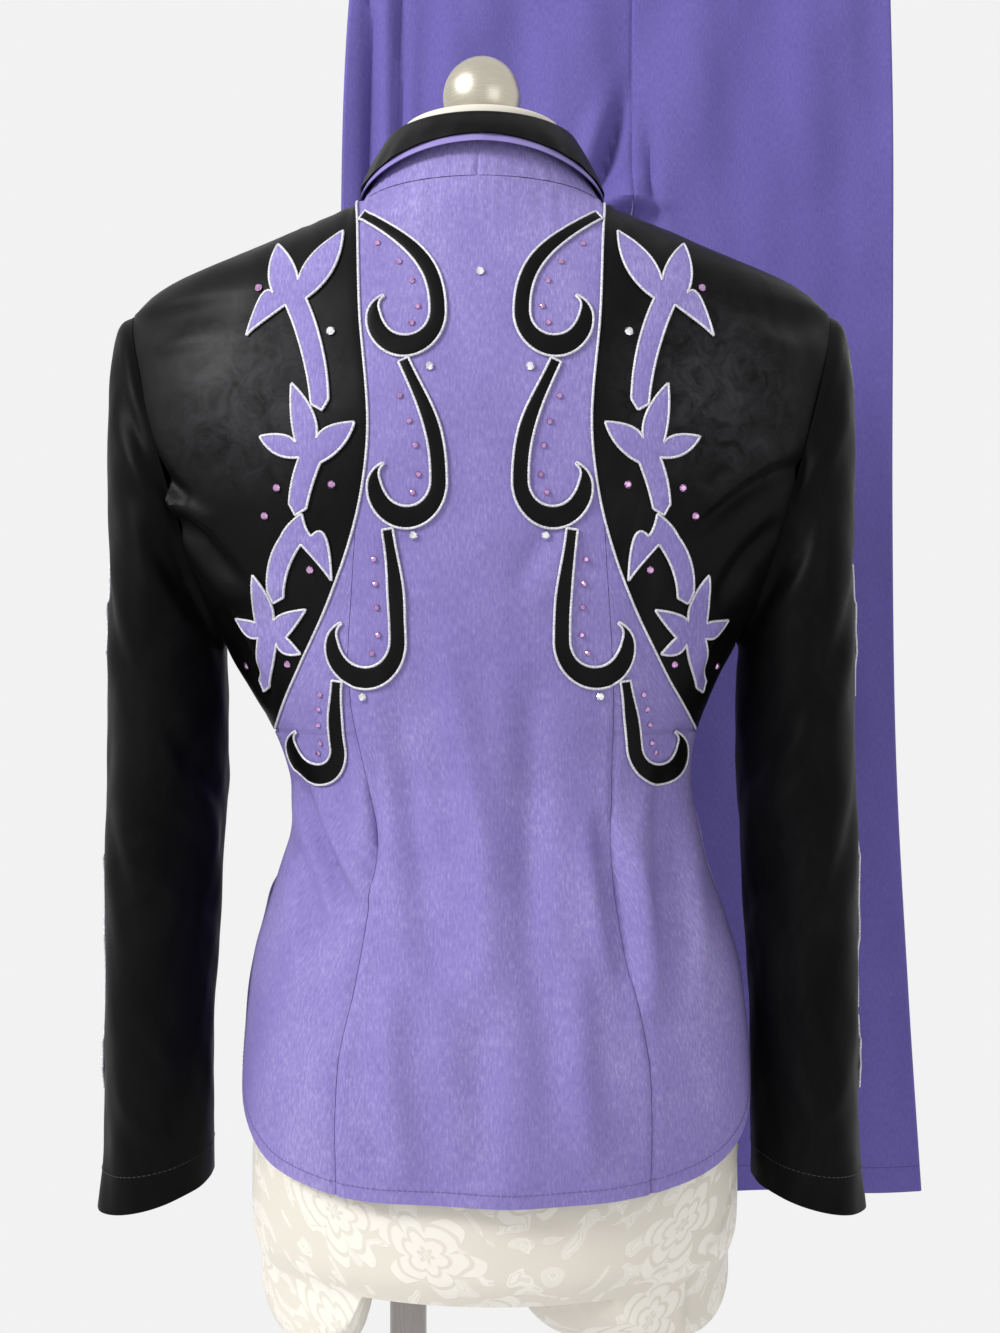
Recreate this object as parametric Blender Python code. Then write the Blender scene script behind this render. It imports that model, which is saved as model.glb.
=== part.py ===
"""Western suit: a jacket on a limbless dress form, with its trousers on a clip hanger behind it.

Metres, +Z up, +X to the wearer's right, +Y the way the wearer faces. The origin is on the underside of
the form's base, in the jacket's centre plane. Run with: blender --background --python part.py
"""

import bisect
import math

import bmesh
import bpy
from mathutils import Vector
from mathutils.geometry import delaunay_2d_cdt

# Driving sizes
CLOTH = 0.0016  # wall of a cloth piece
GAP = 0.0003  # gap between pieces that touch
SEAM = GAP / 2  # each piece stops this far short of its seam line
LIFT = 0.0007  # applique's underside over the panel's faces
APPLIQUE = 0.0012  # thickness of an applique
NECK_Z = 1.415  # neck seam, back and sides
NECK_HALF = 0.083
NECK_DROP = 0.070  # neck seam's fall from shoulder to centre front
NECK_DOWNS = (0.97, 0.88, 0.72, 0.55, 0.40, 0.25, 0.10)  # rows down the front neckline, as shares of it
FRONT_NECK_ROWS = 5  # how many of those rows the lavender fronts reach, below their yokes
HEM_NOMINAL = 0.76  # a row height below HEM_TOP is stretched to end on the curved hem
HEM_TOP = 0.90
SHOULDER_TIP = (0.238, 1.341)  # half width and height of the armhole's top
ARMPIT = (0.176, 1.118)
ARMHOLE_HALF_DEPTH = 0.062
LEAN = 0.009  # the jacket's skirt and the form stand this far to the right of the shoulders
ARMHOLE_TURN = math.radians(62)  # how far a section turns between the armholes

LAVENDER = (0.40, 0.31, 0.66)
PURPLE = (0.24, 0.18, 0.50)
BLACK = (0.012, 0.012, 0.014)
IVORY = (0.78, 0.74, 0.66)


def table(columns, *rows):
    """Rows of numbers as dictionaries, one key for each named column."""
    return [dict(zip(columns.split(), row)) for row in rows]


# Half width and depths of the jacket at each height: sections are half ellipses, back and front
BODY = table(
    "z half_width back front",
    (0.76, 0.1765, 0.122, 0.108),
    (0.83, 0.1750, 0.124, 0.112),
    (0.90, 0.1665, 0.115, 0.108),
    (0.94, 0.1555, 0.105, 0.101),
    (0.98, 0.1420, 0.095, 0.094),
    (1.02, 0.1372, 0.090, 0.091),
    (1.06, 0.1470, 0.094, 0.099),
    (1.118, 0.1760, 0.101, 0.113),
    (1.18, 0.2000, 0.108, 0.125),
    (1.25, 0.2080, 0.112, 0.120),
    (1.32, 0.2300, 0.102, 0.098),
    (1.38, 0.1650, 0.085, 0.070),
    (1.415, 0.0830, 0.072, 0.050),
)
RIDGE = table(
    "z half_width",
    (1.341, 0.238),
    (1.352, 0.2265),
    (1.362, 0.209),
    (1.385, 0.152),
    (1.405, 0.103),
    (1.415, 0.083),
)
# Edge between the lavender body and the black yoke, and the princess seam below it
YOKE_LINE = table(
    "z x",
    (1.0575, 0.1420),
    (1.075, 0.1315),
    (1.10, 0.1165),
    (1.15, 0.0915),
    (1.20, 0.0750),
    (1.25, 0.0690),
    (1.32, 0.0750),
    (1.38, 0.0785),
    (1.415, 0.0830),
)
PRINCESS = table(
    "z x",
    (0.76, 0.0990),
    (0.85, 0.0975),
    (0.92, 0.0840),
    (0.985, 0.0760),
    (1.02, 0.0780),
    (1.08, 0.0840),
    (1.19, 0.0772),
)
HEM = table(
    "t z",  # t runs from the centre to the side seam
    (0.00, 0.772),
    (0.35, 0.7715),
    (0.50, 0.776),
    (0.65, 0.787),
    (0.80, 0.806),
    (0.92, 0.829),
    (1.00, 0.838),
)
SLEEVE = table(
    "outer_x outer_z inner_x inner_z half_depth",
    (0.2380, 1.341, 0.1760, 1.118, 0.0620),
    (0.2475, 1.331, 0.1785, 1.112, 0.0645),
    (0.2530, 1.307, 0.1785, 1.106, 0.0670),
    (0.2545, 1.262, 0.1780, 1.100, 0.0685),
    (0.2542, 1.200, 0.1775, 1.090, 0.0690),
    (0.2545, 1.130, 0.1770, 1.070, 0.0680),
    (0.2555, 1.050, 0.1780, 1.020, 0.0655),
    (0.2570, 0.955, 0.1815, 0.950, 0.0615),
    (0.2580, 0.870, 0.1862, 0.870, 0.0575),
    (0.2585, 0.800, 0.1870, 0.802, 0.0530),
    (0.2600, 0.765, 0.1870, 0.774, 0.0505),
    (0.2635, 0.732, 0.1865, 0.749, 0.0485),
)
# A scroll is a stem that drops into an open loop and hooks up to a point. All four are one form; a row
# gives the top of the stem, the drop and sideways swing from there to the loop's middle, and its radius
SCROLLS = table(
    "top_x top_z drop swing radius",
    (0.076, 1.390, 0.070, -0.030, 0.020),
    (0.047, 1.289, 0.075, -0.002, 0.020),
    (0.057, 1.185, 0.069, 0.015, 0.021),
    (0.091, 1.091, 0.043, 0.021, 0.017),
)
SCROLL_LEAN = 1.5  # the stem sets off this many times as slanted as the straight line to the loop's side
SCROLL_OVAL = 1.1  # height of a loop over its width
SCROLL_TIP = (0.70, 0.50)  # tip of the hook from the loop's middle, in radii
SCROLL_TOP_HALF = 0.0034
SCROLL_HALF_WIDTH = 0.0050
SCROLL_BELLY = 0.0019  # a scroll is this much wider each side at the foot of its loop
# A sprig is a bowed stem that opens into pointed petals at its crown; x is the distance from the centre
# back. All are drawn by one rule, and a row gives only where a stem starts, where it opens and its bow
SPRIGS = table(
    "name foot_x foot_z crown_x crown_z bow",
    ("top", 0.099, 1.264, 0.116, 1.330, -0.006),
    ("tulip", 0.113, 1.200, 0.105, 1.228, 0.002),
    ("hook", 0.130, 1.146, 0.118, 1.179, 0.006),
    ("star", 0.146, 1.088, 0.138, 1.117, -0.001),
)
# Petals from the armhole's side to the middle of the back: degrees from the stem's own line, length, how
# far the belly leans back from the tip, and how far along the petal its sides are drawn out
PETALS = table(
    "sprig turn length curl reach",
    ("top", 110, 0.038, 40, 0.80),
    ("top", 5, 0.046, 0, 0.60),
    ("top", -45, 0.056, -5, 0.60),
    ("tulip", 80, 0.036, 10, 0.65),
    ("tulip", 30, 0.050, 5, 0.60),
    ("tulip", -35, 0.036, -10, 0.65),
    ("hook", -5, 0.018, 0, 0.60),
    ("hook", -115, 0.036, -40, 0.80),
    ("star", 75, 0.028, 5, 0.60),
    ("star", 25, 0.042, 5, 0.60),
    ("star", -40, 0.034, -5, 0.60),
    ("star", -95, 0.025, -5, 0.60),
)
STEM_HALF = 0.0068
FOOT_HALF = 0.0056
PETAL_SPREAD = 36  # widest angle from a petal's belly line to each of its sides
PETAL_PART = 0.35  # or else this share of the angle to the petal beside it
NOTCH = 0.0135  # from a crown to the notch between two petals
# Leaves along the outside of each sleeve: height of the middle and length
SLEEVE_LEAVES = table(
    "name z length",
    ("upper", 1.125, 0.090),
    ("middle", 0.940, 0.150),
    ("lower", 0.835, 0.050),
)

FORM = table(
    "z half_width back front",
    (0.700, 0.1600, 0.100, 0.086),
    (0.720, 0.1660, 0.108, 0.093),
    (0.780, 0.1665, 0.110, 0.097),
    (0.830, 0.1650, 0.112, 0.099),
    (0.900, 0.1560, 0.104, 0.096),
    (0.940, 0.1450, 0.095, 0.091),
    (0.980, 0.1320, 0.086, 0.085),
    (1.020, 0.1270, 0.081, 0.081),
    (1.060, 0.1360, 0.084, 0.089),
    (1.118, 0.1500, 0.091, 0.104),
    (1.180, 0.1600, 0.097, 0.115),
    (1.250, 0.1700, 0.100, 0.109),
    (1.310, 0.1850, 0.094, 0.092),
    (1.345, 0.1940, 0.087, 0.078),
    (1.362, 0.1950, 0.082, 0.072),
)
SHOULDER_TOP = 1.395  # the jacket rests on the form's shoulders up to here
NECK = table(  # the form's neck, above the shoulders
    "z half_width back front",
    (1.4160, 0.0740, 0.0660, 0.0600),
    (1.4260, 0.0640, 0.0620, 0.0590),
    (1.4400, 0.0570, 0.0570, 0.0570),
    (1.4560, 0.0545, 0.0545, 0.0545),
)
UNDERSIDE_Z = 0.702
LOBE_DEPTH = 0.049
LOBES = table("x rx ry", (-0.1160, 0.0430, 0.0900), (0.0900, 0.0760, 0.0880))
CAP_TOP = 1.468
BALL_RADIUS = 0.027
POLE_X = -0.051
POLE_RADIUS = 0.0127
BASE_RADIUS = 0.190

TROUSERS_X = 0.128  # centre seam
TROUSERS_Y = 0.26
CROTCH_Z = 1.492
TROUSER_HEM = 0.640
BAND_Z = (1.745, 1.785)
LAYER = 0.0033  # half thickness of the trousers as they hang flat
FLY_PLACES = (0.07, 0.15)  # the part of a trouser front under the fly facing, across its width
TROUSERS = table(
    "z left_outer right_outer",
    (0.640, 0.262, 0.255),
    (0.810, 0.257, 0.2436),
    (1.020, 0.254, 0.2330),
    (1.230, 0.254, 0.2300),
    (1.510, 0.255, 0.2300),
    (1.690, 0.2475, 0.2280),
    (1.745, 0.2380, 0.2200),
    (1.785, 0.2330, 0.2150),
)
BAR_Z = 1.806
HANGER_BAR_HALF = 0.20
CLIP_X = 0.165
HOOK_RADIUS = 0.020
HOOK_WIRE = 0.002
HOOK_CENTRE_Z = 1.895
PEG_RADIUS = 0.005
WALL_Y = 0.300


def spline(rows, column, at, key="z"):
    """Reads a column on a smooth curve through the table's rows."""
    xs = [row[key] for row in rows]
    ys = [row[column] for row in rows]
    if at <= xs[0]:
        return ys[0]
    if at >= xs[-1]:
        return ys[-1]
    k = bisect.bisect_right(xs, at) - 1
    slopes = []
    for i in (k, k + 1):
        if i in (0, len(xs) - 1):
            j = min(i, len(xs) - 2)
            slopes.append((ys[j + 1] - ys[j]) / (xs[j + 1] - xs[j]))
        else:
            slopes.append((ys[i + 1] - ys[i - 1]) / (xs[i + 1] - xs[i - 1]))
    span = xs[k + 1] - xs[k]
    u = (at - xs[k]) / span
    return (
        ys[k] * (1 - u) ** 2 * (1 + 2 * u)
        + ys[k + 1] * u**2 * (3 - 2 * u)
        + slopes[0] * span * u * (1 - u) ** 2
        - slopes[1] * span * u**2 * (1 - u)
    )


def smooth(u):
    u = min(1.0, max(0.0, u))
    return u * u * (3 - 2 * u)


def mix(a, b, u):
    return a + (b - a) * u


def sway(z):
    """Sideways lean of the form and of the jacket on it, below the arms."""
    return LEAN * smooth((1.11 - z) / 0.14)


# The jacket's surface

def armhole(z):
    """X and Y of the armhole's edge at a height."""
    (tip_x, tip_z), (pit_x, pit_z) = SHOULDER_TIP, ARMPIT
    c = min(1.0, max(-1.0, (2 * z - tip_z - pit_z) / (tip_z - pit_z)))
    return (tip_x + pit_x) / 2 + (tip_x - pit_x) / 2 * c, ARMHOLE_HALF_DEPTH * math.sqrt(1 - c * c)


def section(facing, z):
    """End of a section in X and Y, its depth at the centre, and how far it turns."""
    depth = spline(BODY, "back" if facing < 0 else "front", z)
    if z <= ARMPIT[1]:
        return spline(BODY, "half_width", z), 0.0, depth, math.pi / 2
    if z >= SHOULDER_TIP[1]:
        return spline(RIDGE, "half_width", z), 0.0, depth, math.pi / 2
    x, y = armhole(z)
    into = min(smooth((z - ARMPIT[1]) / 0.05), smooth((SHOULDER_TIP[1] - z) / 0.04))
    return x, y, depth, mix(math.pi / 2, ARMHOLE_TURN, into)


def jacket(facing, t, z):
    """Point of the jacket: t is 0 at the centre and 1 (or -1) at the side seam, armhole or shoulder."""
    x_end, y_end, depth, turn = section(facing, z)
    x = x_end * math.sin(t * turn) / math.sin(turn)
    y = depth + (y_end - depth) * (1 - math.cos(t * turn)) / (1 - math.cos(turn))
    return Vector((x + sway(z), facing * y, z))


def jacket_normal(facing, t, z):
    step = 0.002
    low, high = max(-1.0, t - step), min(1.0, t + step)
    along = jacket(facing, high, z) - jacket(facing, low, z)
    up = jacket(facing, t, min(z + step, NECK_Z)) - jacket(facing, t, min(z + step, NECK_Z) - 2 * step)
    if abs(t) > 1 - step and z > ARMPIT[1]:
        along = jacket(facing, math.copysign(1, t), z) - jacket(facing, math.copysign(1 - step, t), z)
    return (along.cross(up) * -facing).normalized()


def t_at(facing, x, z):
    """The t of a point that lies x from the centre."""
    x_end, _, _, turn = section(facing, z)
    s = max(-1.0, min(1.0, x / x_end * math.sin(turn)))
    return max(-1.0, min(1.0, math.asin(s) / turn))


def fitted(height, t):
    """Height of a row at t: rows below HEM_TOP are stretched down to the hem's curve."""
    if height >= HEM_TOP:
        return height
    hem = spline(HEM, "z", abs(t), "t")
    return mix(hem, HEM_TOP, (height - HEM_NOMINAL) / (HEM_TOP - HEM_NOMINAL))


def edge(facing, x_of, height):
    """The t where a seam that lies at x_of(z) crosses a row."""
    t = 0.5
    for _ in range(8):
        z = fitted(height, t)
        t = t_at(facing, x_of(z), z)
    return t


def yoke_x(z):
    return spline(YOKE_LINE, "x", z)


def centre_back_x(z):
    return yoke_x(z) if z >= PRINCESS[-1]["z"] else spline(PRINCESS, "x", z)


def neckline_x(z):
    """Half width of the front neckline: a quarter ellipse down to the centre front."""
    down = min(1.0, (NECK_Z - z) / NECK_DROP)
    return max(SEAM, NECK_HALF * math.sqrt(max(0.0, 1 - down * down)))


def inset(facing, t, z, towards):
    """Moves t by half a seam gap."""
    step = 0.001
    back = max(-1.0, min(1.0 - step, t - step / 2))
    rate = (jacket(facing, back + step, z) - jacket(facing, back, z)).length / step
    return t + towards * SEAM / max(rate, 1e-3)


def armhole_inward(point):
    """Unit vector from the armhole's edge towards its middle, in its plane, and the plane's normal."""
    side = math.copysign(1, point.x)
    middle = Vector((side * (SHOULDER_TIP[0] + ARMPIT[0]) / 2, 0, (SHOULDER_TIP[1] + ARMPIT[1]) / 2))
    long_way = Vector((side * (SHOULDER_TIP[0] - ARMPIT[0]), 0, SHOULDER_TIP[1] - ARMPIT[1]))
    normal = Vector((long_way.z * side, 0, -long_way.x * side)).normalized()
    normal = Vector((abs(normal.x) * side, 0, -abs(normal.z)))
    half = long_way.length / 2
    away = point - middle
    u = away.dot(long_way) / long_way.length / half
    v = away.y / ARMHOLE_HALF_DEPTH
    gradient = long_way.normalized() * (u / half) + Vector((0, v / ARMHOLE_HALF_DEPTH, 0))
    return -gradient.normalized(), normal


# Meshes

def material(name, colour, roughness, metallic=0.0):
    found = bpy.data.materials.get(name)
    if found:
        return found
    made = bpy.data.materials.new(name)
    made.use_nodes = True
    shader = made.node_tree.nodes["Principled BSDF"]
    shader.inputs["Base Color"].default_value = (*colour, 1)
    shader.inputs["Roughness"].default_value = roughness
    shader.inputs["Metallic"].default_value = metallic
    return made


def lavender():
    return material("lavender_cloth", LAVENDER, 0.75)


def purple():
    return material("purple_cloth", PURPLE, 0.75)


def black_suede():
    return material("black_suede", BLACK, 0.6)


def ivory():
    return material("ivory_damask", IVORY, 0.7)


def steel():
    return material("steel", (0.6, 0.6, 0.6), 0.3, 1.0)


def add_object(name, points, faces, finish, flat=False):
    """Makes a closed mesh object with its faces pointing out."""
    mesh = bpy.data.meshes.new(name)
    mesh.from_pydata([tuple(p) for p in points], [], faces)
    mesh.validate()
    bm = bmesh.new()
    bm.from_mesh(mesh)
    bmesh.ops.recalc_face_normals(bm, faces=bm.faces)
    if bm.calc_volume(signed=True) < 0:
        bmesh.ops.reverse_faces(bm, faces=bm.faces)
    bm.to_mesh(mesh)
    bm.free()
    mesh.materials.append(finish)
    if not flat:
        mesh.shade_smooth()
        mesh.set_sharp_from_angle(angle=math.radians(45))
    made = bpy.data.objects.new(name, mesh)
    bpy.context.scene.collection.objects.link(made)
    return made


def wall(name, outer, inner, finish, closed=False):
    """A sheet of cloth from two grids of points; closed joins each row's ends into a tube."""
    rows, columns = len(outer), len(outer[0])
    points = [p for row in outer for p in row] + [p for row in inner for p in row]
    half = rows * columns
    faces = []
    spans = columns if closed else columns - 1
    for i in range(rows - 1):
        for j in range(spans):
            k = (j + 1) % columns
            a, b, c, d = i * columns + j, i * columns + k, (i + 1) * columns + k, (i + 1) * columns + j
            for triangle in ((a, b, c), (a, c, d)):
                faces += [triangle, tuple(corner + half for corner in reversed(triangle))]
    for j in range(spans):
        k = (j + 1) % columns
        for row, flip in ((0, True), (rows - 1, False)):
            a, b = row * columns + j, row * columns + k
            faces.append((a, a + half, b + half, b) if flip else (a, b, b + half, a + half))
    if not closed:
        for i in range(rows - 1):
            for column, flip in ((0, False), (columns - 1, True)):
                a, b = i * columns + column, (i + 1) * columns + column
                faces.append((a, a + half, b + half, b) if not flip else (a, b, b + half, a + half))
    return add_object(name, points, faces, finish)


def turned(name, profile, finish, segments=24, x=0.0):
    """A solid of revolution about a vertical axis; the profile runs from the axis at one end to the other."""
    points, faces, rings = [], [], []
    for radius, z in profile:
        if radius == 0:
            rings.append([len(points)])
            points.append(Vector((x, 0, z)))
            continue
        rings.append([len(points) + i for i in range(segments)])
        for i in range(segments):
            a = 2 * math.pi * i / segments
            points.append(Vector((x + radius * math.cos(a), radius * math.sin(a), z)))
    for low, high in zip(rings, rings[1:]):
        for i in range(segments):
            k = (i + 1) % segments
            ring = [low[i % len(low)], low[k % len(low)], high[k % len(high)], high[i % len(high)]]
            faces.append(tuple(dict.fromkeys(ring)))
    return add_object(name, points, faces, finish)


def block(name, low, high, finish):
    xs, ys, zs = zip(low, high)
    corners = [Vector((x, y, z)) for x in xs for y in ys for z in zs]
    faces = [(0, 1, 3, 2), (4, 6, 7, 5), (0, 4, 5, 1), (2, 3, 7, 6), (0, 2, 6, 4), (1, 5, 7, 3)]
    return add_object(name, corners, faces, finish, flat=True)


# Jacket panels

YOKE_FOOT = YOKE_LINE[0]["z"]
ROWS = [
    HEM_NOMINAL, 0.79, 0.82, 0.86, HEM_TOP, 0.935, 0.965, 0.99, 1.005, 1.02, 1.038, 1.055, YOKE_FOOT,
    1.075, 1.095, 1.118, 1.15, 1.19, 1.23, 1.27, 1.305, 1.325, 1.341, 1.358, 1.378, 1.395, 1.406, 1.4115,
]
NECK_ROW = NECK_Z - SEAM


def panel(name, facing, side, heights, t_in, t_out, columns, finish, on_armhole=False):
    """A panel between two seams: t_in and t_out give its edges at each row, from the centre outwards."""
    outer, inner = [], []
    for height in heights:
        a, b = t_in(height), t_out(height)
        a = inset(facing, a, fitted(height, a), 1)
        b = inset(facing, b, fitted(height, b), -1)
        outer_row, inner_row = [], []
        for j in range(columns + 1):
            t = mix(a, b, j / columns)
            z = fitted(height, t)
            point = jacket(facing, side * t, z)
            direction = -jacket_normal(facing, side * t, z)
            if on_armhole and ARMPIT[1] - 0.001 < z < SHOULDER_TIP[1] + 0.001 and j >= columns - 1:
                inward, normal = armhole_inward(point)
                if j == columns:
                    direction = inward
                    point = jacket(facing, side, z) - normal * SEAM
                    point.y = facing * max(SEAM, facing * point.y)
                else:
                    direction = (direction + inward).normalized()
            outer_row.append(point)
            inner_row.append(point + direction * CLOTH)
        outer.append(outer_row)
        inner.append(inner_row)
    return wall(name, outer, inner, finish)


def side_seam(height):
    return 1.0


def backs():
    """Centre back, the side backs below it and the yokes."""
    outer, inner = [], []
    columns = 8
    for height in ROWS + [NECK_ROW]:
        limit = edge(-1, centre_back_x, height)
        limit = inset(-1, limit, fitted(height, limit), -1)
        places = [mix(-limit, limit, j / columns) for j in range(columns + 1)]
        row = [jacket(-1, t, fitted(height, t)) for t in places]
        outer.append(row)
        inner.append([p - jacket_normal(-1, t, p.z) * CLOTH for p, t in zip(row, places)])
    wall("back_centre", outer, inner, lavender())
    top = PRINCESS[-1]["z"]
    side_rows = [h for h in ROWS if h < top - 0.02]
    yoke_rows = [h for h in ROWS if h >= YOKE_FOOT] + [NECK_ROW]
    for side, word in ((-1, "left"), (1, "right")):
        panel(
            "back_side_" + word, -1, side, side_rows,
            lambda h: edge(-1, centre_back_x, h),
            lambda h: edge(-1, yoke_x, h) if h >= YOKE_FOOT else 1.0,
            4, lavender(),
        )
        panel(
            "back_yoke_" + word, -1, side, yoke_rows,
            lambda h: edge(-1, yoke_x, h), side_seam, 6, black_suede(), on_armhole=True,
        )


FRONT_ROWS = [h for h in ROWS if h < NECK_Z - NECK_DROP]
FRONT_ROWS += [NECK_Z - NECK_DROP * down for down in NECK_DOWNS[:FRONT_NECK_ROWS]]


def fronts():
    """Plain fronts and front yokes, the mirror of the back's."""
    yoke_rows = [h for h in FRONT_ROWS if h >= YOKE_FOOT]
    yoke_rows += [NECK_Z - NECK_DROP * down for down in NECK_DOWNS[FRONT_NECK_ROWS:]] + [NECK_ROW]

    def front_yoke_x(z):
        return max(yoke_x(z), neckline_x(z) if z > NECK_Z - NECK_DROP else 0.0)
    for side, word in ((-1, "left"), (1, "right")):
        panel(
            "front_" + word, 1, side, FRONT_ROWS,
            lambda h: t_at(1, neckline_x(h) if h > NECK_Z - NECK_DROP else 0.0, h),
            lambda h: edge(1, front_yoke_x, h) if h >= YOKE_FOOT else 1.0,
            6, lavender(),
        )
        panel(
            "front_yoke_" + word, 1, side, yoke_rows,
            lambda h: edge(1, front_yoke_x, h), side_seam, 5, black_suede(), on_armhole=True,
        )


def placket():
    """Band over the fronts' meeting edges, with domed snaps."""
    half_width, lift = 0.014, 0.0005
    heights = [h for h in ROWS if h < NECK_Z - NECK_DROP]
    outer, inner = [], []
    for height in heights:
        reach = t_at(1, half_width, fitted(height, 0))
        places = [(t, fitted(height, t)) for t in (-reach, 0, reach)]
        inner.append([jacket(1, t, z) + jacket_normal(1, t, z) * lift for t, z in places])
        outer.append([jacket(1, t, z) + jacket_normal(1, t, z) * (lift + CLOTH) for t, z in places])
    wall("placket", outer, inner, lavender())
    count, radius = 6, 0.0055
    for i in range(count):
        z = mix(0.80, 1.31, i / (count - 1))
        row = bisect.bisect_right(heights, z) - 1
        low, high = (jacket(1, 0, fitted(h, 0)) for h in heights[row:row + 2])
        centre = low.lerp(high, (z - low.z) / (high.z - low.z))
        normal = Vector((0, high.z - low.z, low.y - high.y)).normalized()
        dome = ((0, 0), (radius, 0), (radius, 0.0012), (radius * 0.6, 0.0027), (0, 0.0032))
        snap = turned(f"snap_{i + 1}", dome, steel(), 12)
        snap.rotation_euler = normal.to_track_quat("Z", "Y").to_euler()
        snap.location = centre + normal * (lift + CLOTH + GAP * 2)


def collar():
    """Stand up from the neck seam, and the fall turned over it."""
    back_steps = 12

    def base(a):
        x = NECK_HALF * math.sin(a)
        if abs(a) <= math.pi / 2:
            return Vector((x, -BODY[-1]["back"] * math.cos(a), NECK_Z + SEAM * 3))
        z = NECK_Z + NECK_DROP * math.cos(a)
        point = jacket(1, t_at(1, x, z), z)
        clear = mix(SEAM * 3, 0.0016, min(1.0, (abs(a) - math.pi / 2) / 0.15))
        return Vector((x, point.y, z + clear))

    def stand(a, h):
        """Height h from 0 at the seam to 1 at the fold."""
        front = smooth((abs(a) - math.pi / 2) / (math.pi / 2))
        low = base(a)
        top_x = 0.0625 * math.sin(a)
        top_y = -0.0615 * math.cos(a) if abs(a) <= math.pi / 2 else low.y * 0.93
        top_z = low.z + mix(0.0405, 0.030, front)
        return Vector((mix(low.x, top_x, h), mix(low.y, top_y, h), mix(low.z, top_z, h)))

    def outward(a):
        """Level direction away from the neck."""
        step = 0.02
        along = stand(a + step, 0.5) - stand(a - step, 0.5)
        return Vector((along.y, -along.x, 0)).normalized()

    outer, inner = [], []
    quarter = math.pi / 2
    in_front = [math.acos(-down) for down in NECK_DOWNS]
    angles = [-a for a in in_front] + [mix(-quarter, quarter, i / back_steps) for i in range(back_steps + 1)]
    angles += reversed(in_front)
    steps = len(angles) - 1
    for h in (0.0, 0.35, 0.7, 1.0):
        outer.append([stand(a, h) for a in angles])
        inner.append([stand(a, h) - outward(a) * CLOTH for a in angles])
    wall("collar_stand", outer, inner, lavender())

    def fall_edge(a):
        """Lower edge of the fall: level with the shoulder at the side, on the chest in front."""
        around = base(a) + outward(a) * mix(0.004, 0.0045, abs(math.sin(a)))
        around.z = mix(1.4415, 1.4240, math.sin(a) ** 2)
        front = smooth((abs(a) - math.radians(80)) / math.radians(45))
        if front == 0:
            return around
        far = abs(a) - math.pi / 2
        x = NECK_HALF * math.sin(a) * mix(1.0, 1.25, far) + math.copysign(0.016 * far, a)
        z = NECK_Z + NECK_DROP * math.cos(a) - mix(0.010, 0.050, smooth(far / math.radians(70)))
        z = min(z, NECK_Z - 0.004)
        t = t_at(1, x, z)
        return around.lerp(jacket(1, t, z) + jacket_normal(1, t, z) * 0.0045, front)

    def fall(a, k):
        """k runs over the fold, 0 at the stand's top, and down to the edge at 1."""
        top = stand(a, 1.0)
        out = outward(a)
        crown = top + out * 0.0015 + Vector((0, 0, 0.0042))
        shoulder = top + out * 0.0048 + Vector((0, 0, 0.0012))
        if k == 0:
            return top + Vector((0, 0, 0.0024)) - out * 0.0009
        if k == 1:
            return crown
        if k == 2:
            return shoulder
        edge_point = fall_edge(a)
        bow = out * 0.0012 * math.sin(math.pi * (k - 2) / 3)
        return shoulder.lerp(edge_point, (k - 2) / 3) + bow

    rows = [[fall(a, k) for a in angles] for k in range(6)]
    under = []
    for k in range(6):
        line = []
        for i in range(steps + 1):
            before = rows[max(0, k - 1)][i]
            after = rows[min(5, k + 1)][i]
            left = rows[k][max(0, i - 1)]
            right = rows[k][min(steps, i + 1)]
            normal = (after - before).cross(right - left).normalized()
            line.append(rows[k][i] - normal * CLOTH)
        under.append(line)
    wall("collar_fall", rows, under, black_suede())


def sleeve_point(side, turn, v):
    """turn is 0 at the outside of the arm and a quarter at the back; v counts the table's rows."""
    rows = [dict(row, v=i) for i, row in enumerate(SLEEVE)]
    ox, oz, ix, iz, depth = (spline(rows, c, v, "v") for c in SLEEVE[0])
    c, s = math.cos(turn), math.sin(turn)
    middle = Vector(((ox + ix) / 2, 0, (oz + iz) / 2))
    half = Vector(((ox - ix) / 2, 0, (oz - iz) / 2))
    point = middle + half * c + Vector((0, -depth * s, 0))
    return Vector((point.x * side, point.y, point.z))


def sleeve_normal(side, turn, v):
    step = 0.02
    around = sleeve_point(side, turn + step, v) - sleeve_point(side, turn - step, v)
    last = len(SLEEVE) - 1
    down = sleeve_point(side, turn, min(v + step, last)) - sleeve_point(side, turn, max(v - step, 0))
    normal = around.cross(down).normalized()
    middle = (sleeve_point(side, 0, v) + sleeve_point(side, math.pi, v)) / 2
    return normal if normal.dot(sleeve_point(side, turn, v) - middle) > 0 else -normal


def sleeves():
    around = 18
    for side, word in ((-1, "left"), (1, "right")):
        outer, inner = [], []
        for v in range(len(SLEEVE)):
            outer_row, inner_row = [], []
            for i in range(around):
                turn = 2 * math.pi * i / around
                point = sleeve_point(side, turn, v)
                direction = -sleeve_normal(side, turn, v)
                if v == 0:
                    direction, normal = armhole_inward(point)
                    point = point + normal * SEAM
                outer_row.append(point)
                inner_row.append(point + direction * CLOTH)
            outer.append(outer_row)
            inner.append(inner_row)
        wall("sleeve_" + word, outer, inner, black_suede(), closed=True)


# Appliques

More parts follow.
